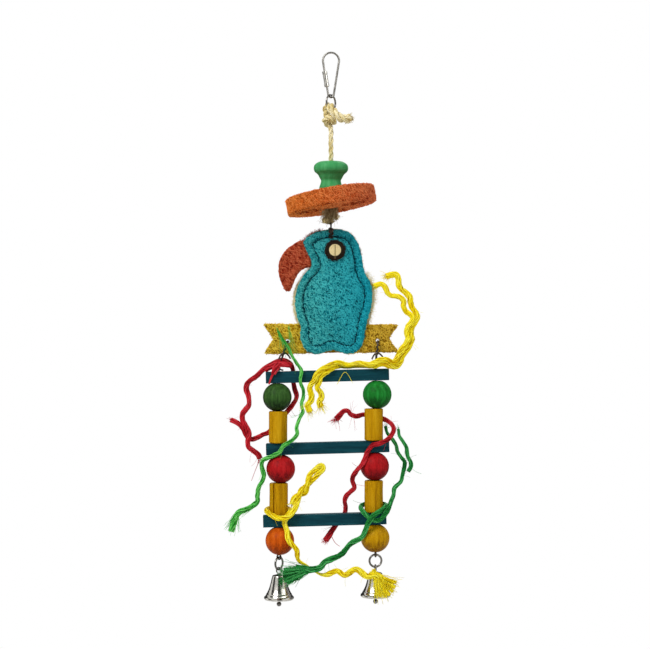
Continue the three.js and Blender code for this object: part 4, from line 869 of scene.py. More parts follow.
def stitch_line_tree():
    """Stitches one after another along a line that lies on a face turned to the front."""
    inputs = [("Line", "Geometry"), ("Spacing", "Float"), *FIBRE_INPUTS]
    tree, given, output = new_tree("stitch_line", inputs)
    line = add_node(tree, "GeometryNodeMeshToCurve", links={0: given["Line"]})
    spaced = add_node(
        tree, "GeometryNodeResampleCurve", links={"Curve": line.outputs[0], "Length": given["Spacing"]},
        mode="LENGTH",
    )
    along = add_node(
        tree, "FunctionNodeAlignRotationToVector",
        links={"Vector": add_node(tree, "GeometryNodeInputTangent").outputs[0]}, axis="X",
    )
    facing = add_node(
        tree, "FunctionNodeAlignRotationToVector", {"Vector": (0, -1, 0)}, {"Rotation": along.outputs[0]},
        axis="Z", pivot_axis="X",
    )
    placed = add_node(
        tree, "GeometryNodeInstanceOnPoints",
        links={"Points": spaced.outputs[0], "Instance": bent_fibre(tree, given),
               "Rotation": facing.outputs[0]},
    )
    realised(tree, given, placed.outputs[0], output)
    return tree


SCATTERED_FIBRES = scattered_fibres_tree()
STITCH_LINE = stitch_line_tree()


def grown(tree, mesh, values):
    """What a tree makes of a mesh, with its named inputs set."""
    holder = bpy.data.objects.new("holder", mesh)
    bpy.context.collection.objects.link(holder)
    modifier = holder.modifiers.new("grow", "NODES")
    modifier.node_group = tree
    sockets = {item.name: item.identifier for item in tree.interface.items_tree if item.in_out == "INPUT"}
    for label, value in values.items():
        modifier[sockets[label]] = value
    return plain_mesh(holder)


def surface_fibres(mesh, material, seed, density, length, thickness, lift=0.25, shades=(0.2, 1.05)):
    """A coat of fibres that lie on a surface, sunk at both ends."""
    half = length / 2
    return grown(SCATTERED_FIBRES, mesh, {
        "Density": density, "Thickness": thickness, "Start": (-half, 0, -thickness),
        "Middle": (0, length * 0.12, length * lift), "End": (half, 0, -thickness), "Steps": 2,
        "Smallest": 0.6, "Darkest": shades[0], "Lightest": shades[1], "Seed": seed, "Finish": material,
    })


def stray_hairs(mesh, material, seed, density, length, thickness):
    """A few hairs that stand off a surface."""
    return grown(SCATTERED_FIBRES, mesh, {
        "Density": density, "Thickness": thickness, "Start": (0, 0, -thickness * 4),
        "Middle": (length * 0.5, 0, length * 0.12), "End": (length * 0.85, length * 0.25, length * 0.5),
        "Steps": 5, "Smallest": 0.4, "Darkest": 0.25, "Lightest": 1.0, "Seed": seed, "Finish": material,
    })


# Camera, floor, background and lights
def level_camera():
    camera = bpy.data.objects.new("camera", bpy.data.cameras.new("camera"))
    camera.data.lens = LENS
    camera.location = CAMERA_PLACE
    camera.rotation_euler = (math.pi / 2, 0, 0)
    bpy.context.collection.objects.link(camera)
    bpy.context.scene.camera = camera
    bpy.context.scene.view_settings.view_transform = "Standard"


def seen_directly(tree):
    """One for camera, glossy and transmission rays, otherwise nought."""
    path = add_node(tree, "ShaderNodeLightPath").outputs
    both = add_node(
        tree, "ShaderNodeMath", links={0: path["Is Camera Ray"], 1: path["Is Glossy Ray"]},
        operation="MAXIMUM",
    )
    return add_node(
        tree, "ShaderNodeMath", links={0: both.outputs[0], 1: path["Is Transmission Ray"]},
        operation="MAXIMUM",
    ).outputs[0]


def mixed_shaders(tree, level, first, second):
    made = add_node(
        tree, "ShaderNodeMixShader", links={0: level, 1: first.outputs[0], 2: second.outputs[0]},
    )
    return made.outputs[0]


def white_room():
    """A background that looks white and lights the toy only a little."""
    world = bpy.data.worlds.new("white_room")
    bpy.context.scene.world = world
    world.use_nodes = True
    tree = world.node_tree
    tree.nodes.clear()
    ambient = add_node(tree, "ShaderNodeBackground", {"Color": WHITE, "Strength": AMBIENT})
    white = add_node(tree, "ShaderNodeBackground", {"Color": WHITE, "Strength": 1})
    mixed = mixed_shaders(tree, seen_directly(tree), ambient, white)
    add_node(tree, "ShaderNodeOutputWorld", links={"Surface": mixed})


def flat_sheet(name, middle, turn, width, height, material):
    """A flat sheet of the studio, turned about its middle."""
    corners = [Vector((x * width / 2, y * height / 2, 0)) for x, y in ((-1, -1), (1, -1), (1, 1), (-1, 1))]
    parts = Parts()
    parts.add([middle + turn @ corner for corner in corners], [(0, 1, 2, 3)])
    sheet = bpy.data.objects.new(name, parts.mesh(name))
    bpy.context.collection.objects.link(sheet)
    sheet.data.materials.append(material)
    return sheet


def pale_floor():
    """A floor that keeps the toy's shadow and fades into the white background."""
    material, tree, shader = finish("pale_floor")
    plain_grey(shader, FLOOR_SHADE, 0.9)
    flat = add_node(
        tree, "ShaderNodeVectorMath", {1: (1, 1, 0)}, {0: object_place(tree)}, operation="MULTIPLY",
    ).outputs[0]
    reach = add_node(tree, "ShaderNodeVectorMath", links={0: flat}, operation="LENGTH").outputs["Value"]
    away = add_node(
        tree, "ShaderNodeMapRange", {"From Min": SHADOW_REACH[0], "From Max": SHADOW_REACH[1]},
        {"Value": reach}, interpolation_type="SMOOTHSTEP",
    ).outputs[0]
    fading = add_node(tree, "ShaderNodeMath", links={0: away, 1: seen_directly(tree)}, operation="MULTIPLY")
    glow = add_node(tree, "ShaderNodeEmission", {"Color": WHITE, "Strength": 1})
    mixed = mixed_shaders(tree, fading.outputs[0], shader, glow)
    tree.links.new(mixed, tree.nodes["Material Output"].inputs["Surface"])
    below = Vector((0, 0, FLOOR_DROP))
    floor = flat_sheet("floor", below, Matrix.Identity(3), FLOOR_SIZE, FLOOR_SIZE, material)


def reflection_cards():
    """Dark and grey cards round the toy for its metal to reflect."""
    for i, (right, up, width, height, shade) in enumerate(CARDS):
        material, _, shader = finish(f"card_{i}")
        plain_grey(shader, shade, 1)
        aside, ahead = unit_turn(math.radians(right - 90))
        level, rise = unit_turn(math.radians(up))
        away = Vector((aside * level, ahead * level, rise))
        turn = (-away).to_track_quat("Z", "Y").to_matrix()
        card = flat_sheet(f"card_{i}", TOY_MIDDLE + away * CARD_REACH, turn, width, height, material)
        card.visible_camera = False
        card.visible_diffuse = False
        card.visible_shadow = False
        card.visible_transmission = False


def lamps():
    for name, (place, size, power) in LAMPS.items():
        lamp = bpy.data.lights.new(name, "AREA")
        lamp.size = size
        lamp.energy = power
        holder = bpy.data.objects.new(name, lamp)
        holder.location = place
        holder.rotation_euler = (TOY_MIDDLE - Vector(place)).to_track_quat("-Z", "Y").to_euler()
        bpy.context.collection.objects.link(holder)


level_camera()
white_room()
pale_floor()
reflection_cards()
lamps()


# Screw link, nut and rings
def link_lean():
    """How far the link's legs lean in towards its tip."""
    return math.asin((BOW_RADIUS - TIP_RADIUS) / (BOW_HEIGHT - TIP_HEIGHT))


def link_leg(height):
    """A point on the middle of the link's left leg."""
    lean = link_lean()
    drop = BOW_HEIGHT - BOW_RADIUS * math.sin(lean) - height
    return Vector((drop * math.tan(lean) - BOW_RADIUS * math.cos(lean), 0, height))


def arc(radius, height, start, end, steps):
    """Points of an arc in the XZ plane."""
    turns = [unit_turn(start + (end - start) * i / steps) for i in range(steps + 1)]
    return [Vector((radius * across, 0, height + radius * up)) for across, up in turns]


def link_wire():
    lean = link_lean()
    bow = arc(BOW_RADIUS, BOW_HEIGHT, math.pi + lean, -lean, steps=40)
    tip = arc(TIP_RADIUS, TIP_HEIGHT, -lean, lean - math.pi, steps=24)
    wire = Parts()
    path = evenly([link_leg(MOUTH_TOP), *bow, *tip, link_leg(MOUTH_BOTTOM)], LINK_STEP)
    tube(wire, path, LINK_WIRE / 2, sides=14)
    add_piece("pear_link_wire", wire.mesh("wire"), LINK_NICKEL, "link", "nickel", "pear_link", edge_angle=50)


def sleeve_nut():
    half, outer, bore = NUT_LENGTH / 2, NUT_WIDTH / 2, NUT_BORE / 2
    neck, inner = half - NUT_COLLAR, outer - NUT_GROOVE
    side = [
        (outer - NUT_BEVEL, half), (outer, half - NUT_BEVEL), (outer, neck), (inner, neck),
        (inner, neck - NUT_GROOVE), (outer - NUT_GROOVE / 2, neck - 2 * NUT_GROOVE),
    ]
    below = [(radius, -height) for radius, height in reversed(side)]
    sleeve = outward(lathe([(bore, half), *side, *below, (bore, -half)], segments=36).mesh("sleeve"))
    lean = link_lean()
    middle = link_leg(NUT_TOP - half * math.cos(lean))
    sleeve.transform(Matrix.Translation(middle) @ Matrix.Rotation(-lean, 4, "Y"))
    add_piece("sleeve_nut", sleeve, NICKEL, "nut", "nickel", "link_nut", edge_angle=25)


def ring_path(radius, height, turn, x=0.0, start=200, gap=BUTT_GAP):
    """A wire ring's middle line, upright in a plane turned about Z, with a gap where its ends butt."""
    across, along = unit_turn(math.radians(turn))
    opening = gap / radius
    first = math.radians(start) + opening / 2
    last = math.radians(start) + 2 * math.pi - opening / 2
    flat = arc(radius, height, first, last, steps=64)
    return [Vector((x + point.x * across, point.x * along, point.z)) for point in flat]


def steel_ring(node, radius, wire, height, turn, x=0.0, metal=STEEL):
    ring = Parts()
    tube(ring, ring_path(radius, height, turn, x), wire / 2, sides=14)
    add_piece(f"{node}_wire", ring.mesh(node), metal, node, "steel", node, edge_angle=50)


def head_binding():
    """Dark wire wound round the front of the head's ring."""
    ring = ring_path(HEAD_RING["radius"], HEAD_RING["height"], HEAD_RING["turn"])
    top = HEAD_RING["height"] + BINDING_RISE
    front_arc = [point for point in ring if point.y < BINDING_FRONT and point.z < top]
    binding = Parts()
    winding = wound(evenly(front_arc, WINDING_STEP), BINDING_REACH, BINDING_TURNS)
    tube(binding, winding, BINDING_RADIUS, sides=8)
    add_piece("head_ring_binding", binding.mesh("binding"), DARK_WIRE, "head_ring", "steel")


# Bells with their rings, eyes and clappers
def bell_profile():
    """The bell's closed section, with two beads round the rim and a lip drawn in."""
    shoulder, mouth = BELL_SHOULDER / 2, BELL_MOUTH / 2
    crown = [(shoulder - 2 * BELL_WALL, 0), (shoulder - BELL_WALL / 2, -BELL_CROWN_FALL)]
    flare = [(shoulder + (mouth - shoulder) * out, -down * BELL_HEIGHT) for out, down in BELL_FLARE]
    line = smooth_profile([*crown, *flare], BELL_STEP)
    outer = []
    for radius, height in line:
        down = -height / BELL_HEIGHT
        bead = -BELL_LIP_DRAW * max(0, down - BELL_LIP_FROM) / BELL_LIP_SHARE
        for share, width, rise in BELL_BEADS:
            away = abs(down - share) / width
            bead += rise * (math.cos(math.pi * min(away, 1)) + 1) / 2
        outer.append((radius + bead, height))
    inner = [(radius - BELL_WALL, min(height, -BELL_WALL)) for radius, height in reversed(line)]
    bore = BELL_EYE_WIRE / 2 + CLEARANCE
    return [(bore, 0), *outer, *inner, (bore, -BELL_WALL)]


def bell_shell(side, x, crown):
    bell = outward(lathe(bell_profile(), segments=72).mesh("bell"))
    bell.transform(Matrix.Translation((x, 0, crown)))
    add_piece(f"bell_{side}_shell", bell, NICKEL, f"bell_{side}", "nickel", f"bell_{side}", edge_angle=40)


def upright_rod(parts, x, top, bottom, radius, step):
    tube(parts, evenly([Vector((x, 0, top)), Vector((x, 0, bottom))], step), radius, sides=12)


def bell_eye(side, x, turn, crown):
    """The loop over a bell's crown, the hook under it, the rod between them and two washers."""
    eye = Parts()
    loop, hook = crown + BELL_EYE_RISE, crown - HOOK_DROP
    tube(eye, ring_path(BELL_EYE / 2, loop, turn + 90, x, start=270), BELL_EYE_WIRE / 2, sides=12)
    tube(eye, ring_path(HOOK / 2, hook, turn, x, start=90), HOOK_WIRE / 2, sides=10)
    upright_rod(eye, x, loop - BELL_EYE / 2, hook + HOOK / 2, BELL_EYE_WIRE / 2, BELL_ROD_STEP)
    for rise, width in WASHERS:
        height = crown + rise
        washer = [Vector((x, 0, height - WASHER_HALF)), Vector((x, 0, height + WASHER_HALF))]
        tube(eye, washer, [width, width * WASHER_DISH], sides=20)
    node = f"bell_eye_{side}"
    add_piece(f"{node}_wire", eye.mesh("eye"), STEEL, f"bell_{side}", "nickel", node, edge_angle=40)


def clapper(side, x, turn, crown):
    """A loop in the bell's hook, a rod and a round knob."""
    hanging = Parts()
    loop = crown - HOOK_DROP - HOOK + HOOK_WIRE + CLAPPER_PLAY
    knob_height, radius = crown - CLAPPER_DROP, CLAPPER_BALL / 2
    tube(hanging, ring_path(HOOK / 2, loop, turn + 90, x, start=270), HOOK_WIRE / 2, sides=10)
    upright_rod(hanging, x, loop - HOOK / 2, knob_height, HOOK_WIRE / 2, CLAPPER_ROD_STEP)
    turns = [unit_turn(math.pi / 2 - math.pi * i / KNOB_STEPS) for i in range(1, KNOB_STEPS)]
    round_side = [(radius * across, radius * up) for across, up in turns]
    knob = lathe([(0, radius), *round_side, (0, -radius)], segments=28)
    hanging.add([point + Vector((x, 0, knob_height)) for point in knob.points], knob.faces)
    mesh = outward(hanging.mesh("clapper"))
    node = f"clapper_{side}"
    add_piece(f"{node}_rod", mesh, STEEL, node, "nickel", node, edge_angle=40)


def bell_chain(side):
    """A bell with its ring, its eye and its clapper."""
    column = COLUMNS[side]
    x, turn, crown = column["x"], column["ring_turn"], column["crown"]
    steel_ring(f"bell_ring_{side}", BELL_RING_RADIUS, BELL_RING_WIRE, column["ring"], turn, x)
    bell_shell(side, x, crown)
    bell_eye(side, x, turn, crown)
    clapper(side, x, turn, crown)


# Hanger wires: a loop through the perch, a twist, a stem and an eye
def hanger_wire(side):
    column = COLUMNS[side]
    x, lean = column["x"], column["hole"] - column["x"]
    neck, twist_foot = HINGE_HEIGHT - LOOP_HEIGHT, HINGE_HEIGHT + TWIST_TOP - TWIST_LENGTH
    reach = HANGER_WIRE / 2

    def on_loop(across, down):
        return Vector((x + lean * (1 + down), across * LOOP_WIDTH / 2, HINGE_HEIGHT + down * LOOP_HEIGHT))

    def winding(start):
        """One wire of the twist, from the neck down."""
        shares = [i / TWIST_STEPS for i in range(TWIST_STEPS + 1)]
        turns = [unit_turn(math.radians(start) + 2 * math.pi * i / TWIST_STEPS) for i in range(len(shares))]
        return [
            Vector((x + across * reach, along * reach, neck + (twist_foot - neck) * share))
            for share, (across, along) in zip(shares, turns)
        ]

    wire = Parts()
    front = [on_loop(across, down) for across, down in LOOP_SIDE]
    back = [on_loop(-across, down) for across, down in reversed(LOOP_SIDE)]
    loop = smooth_route([*winding(90)[:1], *front, on_loop(0, 0), *back, *winding(270)[:1]], WIRE_STEP)
    stub = twist_foot - CUT_END_DROP
    cut_end = [Vector((x + out, along, stub + rise)) for out, along, rise in CUT_END]
    lead = smooth_route([*cut_end, *reversed(winding(90))], WIRE_STEP)[:-1]
    stem = smooth_route([*winding(270)[1:], Vector((x, 0, twist_foot - TWIST_END_DROP))], WIRE_STEP)
    tube(wire, [*lead, *loop, *stem], reach, sides=10)
    eye_top = Vector((x, 0, column["eye"] + HANGER_EYE / 2))
    tube(wire, evenly([Vector((x, 0, twist_foot - STEM_DROP)), eye_top], STEM_STEP), reach, sides=10)
    eye_turn = column["ring_turn"] + 90
    eye = ring_path(HANGER_EYE / 2, column["eye"], eye_turn, x, start=90, gap=HANGER_EYE_GAP)
    tube(wire, eye, reach, sides=10)
    foot = on_loop(*WHIPPING_FOOT)
    for end in WHIPPING_ENDS:
        tip = foot + Vector(end)
        bow = foot.lerp(tip, WHIPPING_BOW_PLACE) + Vector((end[0] * WHIPPING_BOW, 0, 0))
        tube(wire, smooth_route([foot, bow, tip], WIRE_STEP), reach, sides=8)
    bottom = HINGE_HEIGHT - WHIPPING_DROP
    leg = [point for point in loop if point.y < WHIPPING_FRONT and point.z > bottom]
    whipping = wound(evenly(leg, WINDING_STEP), WHIPPING_REACH, WHIPPING_TURNS)
    tube(wire, whipping, reach * WHIPPING_WIRE, sides=8)
    mesh = wire.mesh("wire")
    add_piece(f"hanger_{side}_wire", mesh, DARK_WIRE, "ladder", "steel", f"hanger_wire_{side}", edge_angle=50)


# Wooden pieces
def node_middle(node):
    low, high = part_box(node)
    return (low + high) / 2


def wooden_ball(node, stain):
    """A bored ball with flat ends, with painted shade that darkens it towards the bottom."""
    edge = math.acos(BALL_FLAT / BALL)
    turns = [unit_turn(edge * (1 - 2 * i / BALL_STEPS)) for i in range(BALL_STEPS + 1)]
    side = [(BALL / 2 * across, BALL / 2 * up) for across, up in turns]
    half, bore = BALL / 2 * math.sin(edge), BEAD_BORE / 2
    above = [(bore, half - BORE_BEVEL), (bore + BORE_BEVEL, half)]
    below = [(radius, -height) for radius, height in reversed(above)]
    mesh = outward(lathe([*above, *side, *below], segments=64).mesh("ball"))
    # Painted shade: the lower half of the ball is coloured darker, as the shade under it
    for vertex, shade in zip(mesh.vertices, mesh.attributes["shade"].data):
        low = -vertex.co.z / (BALL / 2)
        shade.value = 0.5 - BALL_PAINTED_SHADE * max(0, low)
    mesh.transform(Matrix.Translation(node_middle(node)))
    add_piece(f"{node}_wood", mesh, WOODS[stain], node, f"{stain}_wood", node, edge_angle=40)


def dowel_bead(node, split=False):
    """A bored length of dowel, a little uneven round its side, with or without a split down it."""
    half, outer, bore = DOWEL_LENGTH / 2, DOWEL / 2, BEAD_BORE / 2
    straight = 2 * half - 2 * DOWEL_BEVEL
    heights = [half - DOWEL_BEVEL - straight * i / DOWEL_STEPS for i in range(DOWEL_STEPS + 1)]
    ends = [(outer - DOWEL_BEVEL, half), (outer - DOWEL_BEVEL, -half)]
    side = [ends[0], *[(outer, height) for height in heights], ends[1]]
    parts = lathe([(bore, half), *side, (bore, -half)], segments=96)
    middle = node_middle(node)
    for point in parts.points:
        reach = point.xy.length
        if reach < outer - 2 * DOWEL_BEVEL:
            continue
        turn = math.atan2(point.y, point.x)
        rub = noise.noise(Vector((turn * RUB_ROUND, point.z * RUB_ALONG, middle.x * RUB_APART)))
        reach += rub * DOWEL_RUB
        if split and abs(math.degrees(turn) % 360 - SPLIT_TURN) < SPLIT_WIDTH / 2:
            reach -= SPLIT_DEPTH
        point.xy = Vector(unit_turn(turn)) * reach
    mesh = outward(parts.mesh("dowel"))
    mesh.transform(Matrix.Translation(middle))
    add_piece(f"{node}_wood", mesh, WOODS["yellow"], node, "yellow_wood", node, edge_angle=35)


def square_rung(node):
    bevel = {"width": RUNG_BEVEL, "segments": 2, "limit_method": "ANGLE", "angle_limit": math.radians(60)}
    mesh = with_modifiers(cad_copy(node), ("BEVEL", bevel))
    add_piece(f"{node}_stick", mesh, WOODS["deep_teal"], "ladder", "deep_teal_wood", node, edge_angle=25)


def turned_spool():
    low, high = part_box("spool_bead")
    bore, height = ROPE / 2 + CLEARANCE, high.z - low.z
    side = smooth_profile([(radius, -share * height) for radius, share in SPOOL_PROFILE], WIRE_STEP)
    mesh = outward(lathe([(bore, 0), *side, (bore, -height)], segments=72).mesh("spool"))
    mesh.transform(Matrix.Translation((0, 0, high.z)))
    add_piece("spool_wood", mesh, WOODS["spool_green"], "spool", "green_wood", "spool_bead", edge_angle=40)


link_wire()
sleeve_nut()
steel_ring("top_ring", **TOP_RING)
steel_ring("head_ring", **HEAD_RING, metal=DARK_WIRE)
head_binding()
turned_spool()
for column_side in COLUMNS:
    hanger_wire(column_side)
    bell_chain(column_side)
for row in ("top", "middle", "bottom"):
    square_rung(f"rung_{row}")
for place, stain in (
    ("top_left", "olive"), ("top_right", "green"), ("middle_left", "red"), ("middle_right", "red"),
    ("bottom_left", "orange"), ("bottom_right", "yellow"),
):
    wooden_ball(f"ball_{place}", stain)
for place in ("upper_left", "lower_left", "upper_right", "lower_right"):
    dowel_bead(f"dowel_{place}", split=place == "lower_left")


# Loofah pieces
def roughen(mesh, coarse, fine, shade):
    """Pushes a surface in and out a little, with painted shade where it is pushed in."""
    shades = []
    normals = [vertex.normal.copy() for vertex in mesh.vertices]
    for vertex, normal in zip(mesh.vertices, normals):
        broad = noise.noise(vertex.co * BROAD_LUMPS)
        sharp = noise.noise(vertex.co * SHARP_LUMPS)
        vertex.co += normal * (broad * coarse + sharp * fine)
        # Painted shade: the shade follows the same noise as the push, so dents are darker
        shades.append(shade + 0.2 * sharp + 0.1 * broad)
    mesh.attributes.new("shade", "FLOAT", "POINT").data.foreach_set("value", shades)


# The default shade colours a loofah body dark under its fibres: painted shade in the pits between them
def matted(node, voxel, coarse=0.0004, fine=0.0004, shade=0.22, passes=4):
    """A solid's shape as a matted body."""
    mesh = with_modifiers(
        cad_copy(node),
        ("REMESH", {"mode": "VOXEL", "voxel_size": voxel}),
        ("SMOOTH", {"iterations": passes}),
    )
    roughen(mesh, coarse, fine, shade)
    return mesh


def loofah_piece(name, node, body, slot, material, voxel, coats, shape=None, passes=4):
    """A loofah body and its coats of fibres, each with its name, the faces it grows on and its fibres."""
    mesh = matted(node, voxel, passes=passes)
    if shape:
        shape(mesh)
    grounds = [only_faces(mesh, keep) for _, keep, _ in coats]
    solid = add_piece(name, mesh, material, body, slot, node)
    for seed, ((coat, _, fibres), ground) in enumerate(zip(coats, grounds), len(name)):
        add_piece(f"{name}_{coat}", surface_fibres(ground, material, seed, **fibres), material, body, slot)
    return solid


def pitted(mesh):
    """Presses three seed hollows into the underside of the slice, with painted shade on the underside and
    more in the hollows.
    """
    middle = node_middle("loofah_disc")
    up = SLICE_TURN @ Vector((0, 0, 1))
    shades = mesh.attributes["shade"].data
    for i, vertex in enumerate(mesh.vertices):
        flat = SLICE_LEVEL @ (vertex.co - middle)
        if flat.z > SLICE_UNDERSIDE:
            continue
        # Painted shade on the whole underside
        shades[i].value -= 0.12
        for degrees in HOLLOW_TURNS:
            across, along = unit_turn(math.radians(degrees))
            away = math.hypot(flat.x - HOLLOW_PLACE * across, flat.y - HOLLOW_PLACE * along) / HOLLOW_RADIUS
            if away < 1:
                vertex.co += up * HOLLOW_DEPTH * (1 - away ** 3)
                # Painted shade, deepest in the middle of each hollow
                shades[i].value -= 0.2 * (1 - away)


def outline_line(first, last, step):
    """Points along the parrot's outline between two of its corners."""
    corners = [PARROT_OUTLINE[i % len(PARROT_OUTLINE)] for i in range(first, last + 1)]
    return smooth_route([(x, 0, z + PARROT_HEIGHT) for x, z in corners], step)


def outline_finder():
    line = outline_line(0, len(PARROT_OUTLINE), OUTLINE_STEP)
    finder = KDTree(len(line))
    for i, point in enumerate(line):
        finder.insert(point, i)
    finder.balance()
    return finder


OUTLINE_FINDER = outline_finder()


def inset(place):
    """How far inside the parrot's outline a place on its front is."""
    return OUTLINE_FINDER.find((place.x, 0, place.z))[2]


def rolled_rim(mesh):
    """Rounds the rim outside the stitched groove and presses the groove in, with painted shade in the groove
    and a little lighter base colour on the rim.
    """
    shades = mesh.attributes["shade"].data
    for i, vertex in enumerate(mesh.vertices):
        if vertex.co.y > RIM_FROM:
            continue
        within = inset(vertex.co)
        groove = math.exp(-((within - SEAM_INSET) / SEAM_WIDTH) ** 2)
        vertex.co.y += SEAM_DEPTH * groove
        # Painted shade in the groove
        shades[i].value -= 0.3 * groove
        if within < SEAM_INSET:
            vertex.co.y -= RIM_RISE * math.sin(math.pi * within / SEAM_INSET)
            shades[i].value += 0.1 * (1 - groove)


def on_rim(middle, normal):
    return middle.y < -FIBRES_FROM and inset(middle) < SEAM_INSET - SEAM_WIDTH * SEAM_BARE


def on_breast(middle, normal):
    return middle.y < -FIBRES_FROM and inset(middle) > SEAM_INSET + SEAM_WIDTH * SEAM_BARE


def on_slice_rim(middle, normal):
    return abs((SLICE_LEVEL @ normal).z) < SLICE_RIM_SLOPE


def on_slice_faces(middle, normal):
    return middle.xy.length > SLICE_BARE_MIDDLE and not on_slice_rim(middle, normal)


loofah_piece("loofah_slice", "loofah_disc", "disc", "orange_loofah", ORANGE, 0.001, [
    ("rim_fibres", on_slice_rim, {
        "density": 2000000, "length": 0.003, "thickness": 0.00022, "lift": 0.1,
    }),
    ("face_fibres", on_slice_faces, {
        "density": 700000, "length": 0.0034, "thickness": 0.00024, "lift": 0.12,
    }),
], pitted, passes=1)
front = loofah_piece("parrot_front_pad", "parrot_front", "parrot", "teal_loofah", TEAL, 0.0008, [
    ("fibres", on_breast, {
        "density": 1700000, "length": 0.003, "thickness": 0.00028, "lift": 0.18, "shades": (0.1, 1.35),
    }),
    ("rim_fibres", on_rim, {
        "density": 2200000, "length": 0.0026, "thickness": 0.00024, "lift": 0.1, "shades": (0.1, 1.15),
    }),
], rolled_rim, passes=3)
back = loofah_piece("parrot_back_pad", "parrot_back", "parrot", "cream_loofah", CREAM, 0.001, [
    ("fibres", lambda middle, normal: middle.y > FIBRES_FROM, {
        "density": 900000, "length": 0.0045, "thickness": 0.00026,
    }),
])
beak = loofah_piece("beak_pad", "beak", "parrot", "brick_loofah", BRICK, 0.0007, [
    ("fibres", lambda middle, normal: True, {
        "density": 1700000, "length": 0.0038, "thickness": 0.00028, "lift": 0.18, "shades": (0.1, 1.1),
    }),
])
loofah_piece("perch_bar", "perch", "parrot", "mustard_loofah", MUSTARD, 0.0009, [
    ("fibres", lambda middle, normal: abs(middle.x) > PERCH_COVERED, {
        "density": 1200000, "length": 0.0042, "thickness": 0.0003, "lift": 0.15, "shades": (0.1, 1.2),
    }),
])


# Eye and stitching
def front_of(mesh):
    """A function that finds where a line from the front first meets a mesh."""
    surface = BVHTree.FromPolygons([v.co for v in mesh.vertices], [p.vertices for p in mesh.polygons])

    def first_met(x, z):
        return surface.ray_cast(Vector((x, BEFORE_TOY, z)), Vector((0, 1, 0)))[0]

    return first_met


def felt_patch():
    """The eye's dark patch with its nap and the fuzz round its edge."""
    patch = matted("eye_patch", 0.0004, coarse=0.0002, fine=0.00025, shade=0.5)
    face = only_faces(patch, lambda middle, normal: normal.y < 0.3)
    nap = surface_fibres(face, FELT, 17, density=6000000, length=0.0042, thickness=0.0001, lift=0.32)
    edge = only_faces(patch, lambda middle, normal: abs(normal.y) < 0.7)
    fuzz = stray_hairs(edge, FELT, 18, density=5000000, length=0.0026, thickness=0.00012)
    add_piece("eye_patch_felt", patch, FELT, "parrot", "dark_felt", "eye_patch")
    add_piece("eye_patch_fuzz", fuzz, FELT, "parrot", "dark_felt")
    add_piece("eye_patch_nap", nap, FELT, "parrot", "dark_felt")


def eye_button():
    """The cream button with a thread down its middle, which hangs on below it."""
    button = matted("eye_button", 0.0003, coarse=0.0001, fine=0.00012, shade=0.6)
    on_button = front_of(button)
    add_piece("eye_button_disc", button, EYE_CREAM, "parrot", "cream_loofah", "eye_button")
    x, z = EYE
    slit = []
    for i in range(EYE_THREAD_STEPS + 1):
        height = z + EYE_THREAD_RISE - EYE_THREAD_LENGTH * i / EYE_THREAD_STEPS
        hit = on_button(x, height)
        depth = hit.y if hit else slit[-1].y + EYE_THREAD_FALL
        slit.append(Vector((x, depth - PROUD, height)))
    thread = Parts()
    tube(thread, smooth_route(slit, EYE_THREAD_STEP), EYE_THREAD_RADIUS, sides=8, shade=0.7)
    add_piece("eye_thread", thread.mesh("thread"), EYE_THREAD, "parrot", "cream_loofah")


def seam_stitches():
    """A line of dark stitches in the groove round the parrot's front."""
    on_front = front_of(front.data)
    laid = []
    for point in outline_line(0, len(PARROT_OUTLINE), SEAM_STEP):
        inward = (PARROT_MIDDLE - point).normalized()
        place = point + inward * SEAM_INSET
        while inset(place) < SEAM_INSET:
            place += inward * SEAM_SEARCH_STEP
        hit = on_front(place.x, place.z)
        if hit:
            laid.append(hit + Vector((0, -PROUD, 0)))
    guide = bpy.data.meshes.new("stitch_guide")
    guide.from_pydata(laid, [(i, i + 1) for i in range(len(laid) - 1)], [])
    stitches = grown(STITCH_LINE, guide, {
        "Spacing": STITCH_SPACING, "Thickness": STITCH_RADIUS, "Start": (-STITCH_HALF, 0, STITCH_SINK),
        "Middle": (0, 0, STITCH_ARCH), "End": (STITCH_HALF, 0, STITCH_SINK), "Steps": 6, "Darkest": 0.2,
        "Lightest": 0.7, "Seed": 19, "Finish": THREAD,
    })
    add_piece("seam_stitches", stitches, THREAD, "parrot", "teal_loofah")


felt_patch()
eye_button()
seam_stitches()


# Twisted fibre: the rope and the strands
def spread_at(table, share):
    """How wide a yarn is drawn at a share of its length, from (share, width) rows."""
    for (low, before), (high, after) in zip(table, table[1:]):
        if share <= high:
            return before + (after - before) * (share - low) / (high - low)
    return table[-1][1]


def laid_rope(parts, path, rng, fullness):
    """Laid rope: plies wound round the path, each a bundle of fibres wound the other way round a core."""
    frames = frames_along(path)
    reach = run_length(path)
    full = [spread_at(fullness, distance / reach[-1]) for distance in reach]
    for ply in range(ROPE_PLIES):
        for fibre in range(-1, ROPE_FIBRES):
            core = fibre < 0
            lead = 2 * math.pi * (fibre + rng.uniform(-SCATTER, SCATTER)) / ROPE_FIBRES
            own = 0 if core else BUNDLE_REACH * rng.uniform(*BUNDLE_SPREAD)
            thick = ROPE_CORE if core else ROPE * rng.uniform(*ROPE_FIBRE)
            points = []
            for point, (_, upright, side), distance, wide in zip(path, frames, reach, full):
                ply_up, ply_across = unit_turn(2 * math.pi * (ply / ROPE_PLIES + distance / ROPE_PITCH))
                own_up, own_across = unit_turn(lead - 2 * math.pi * distance / BUNDLE_PITCH)
                up = (ply_up * PLY_REACH + own_up * own) * wide
                across = (ply_across * PLY_REACH + own_across * own) * wide
                points.append(point + upright * up + side * across)
            # The core is coloured dark: painted shade between the plies and fibres
            shade = 0.2 if core else rng.uniform(0.3, 1.0)
            tube(parts, points, [thick * wide for wide in full], sides=5, shade=shade)


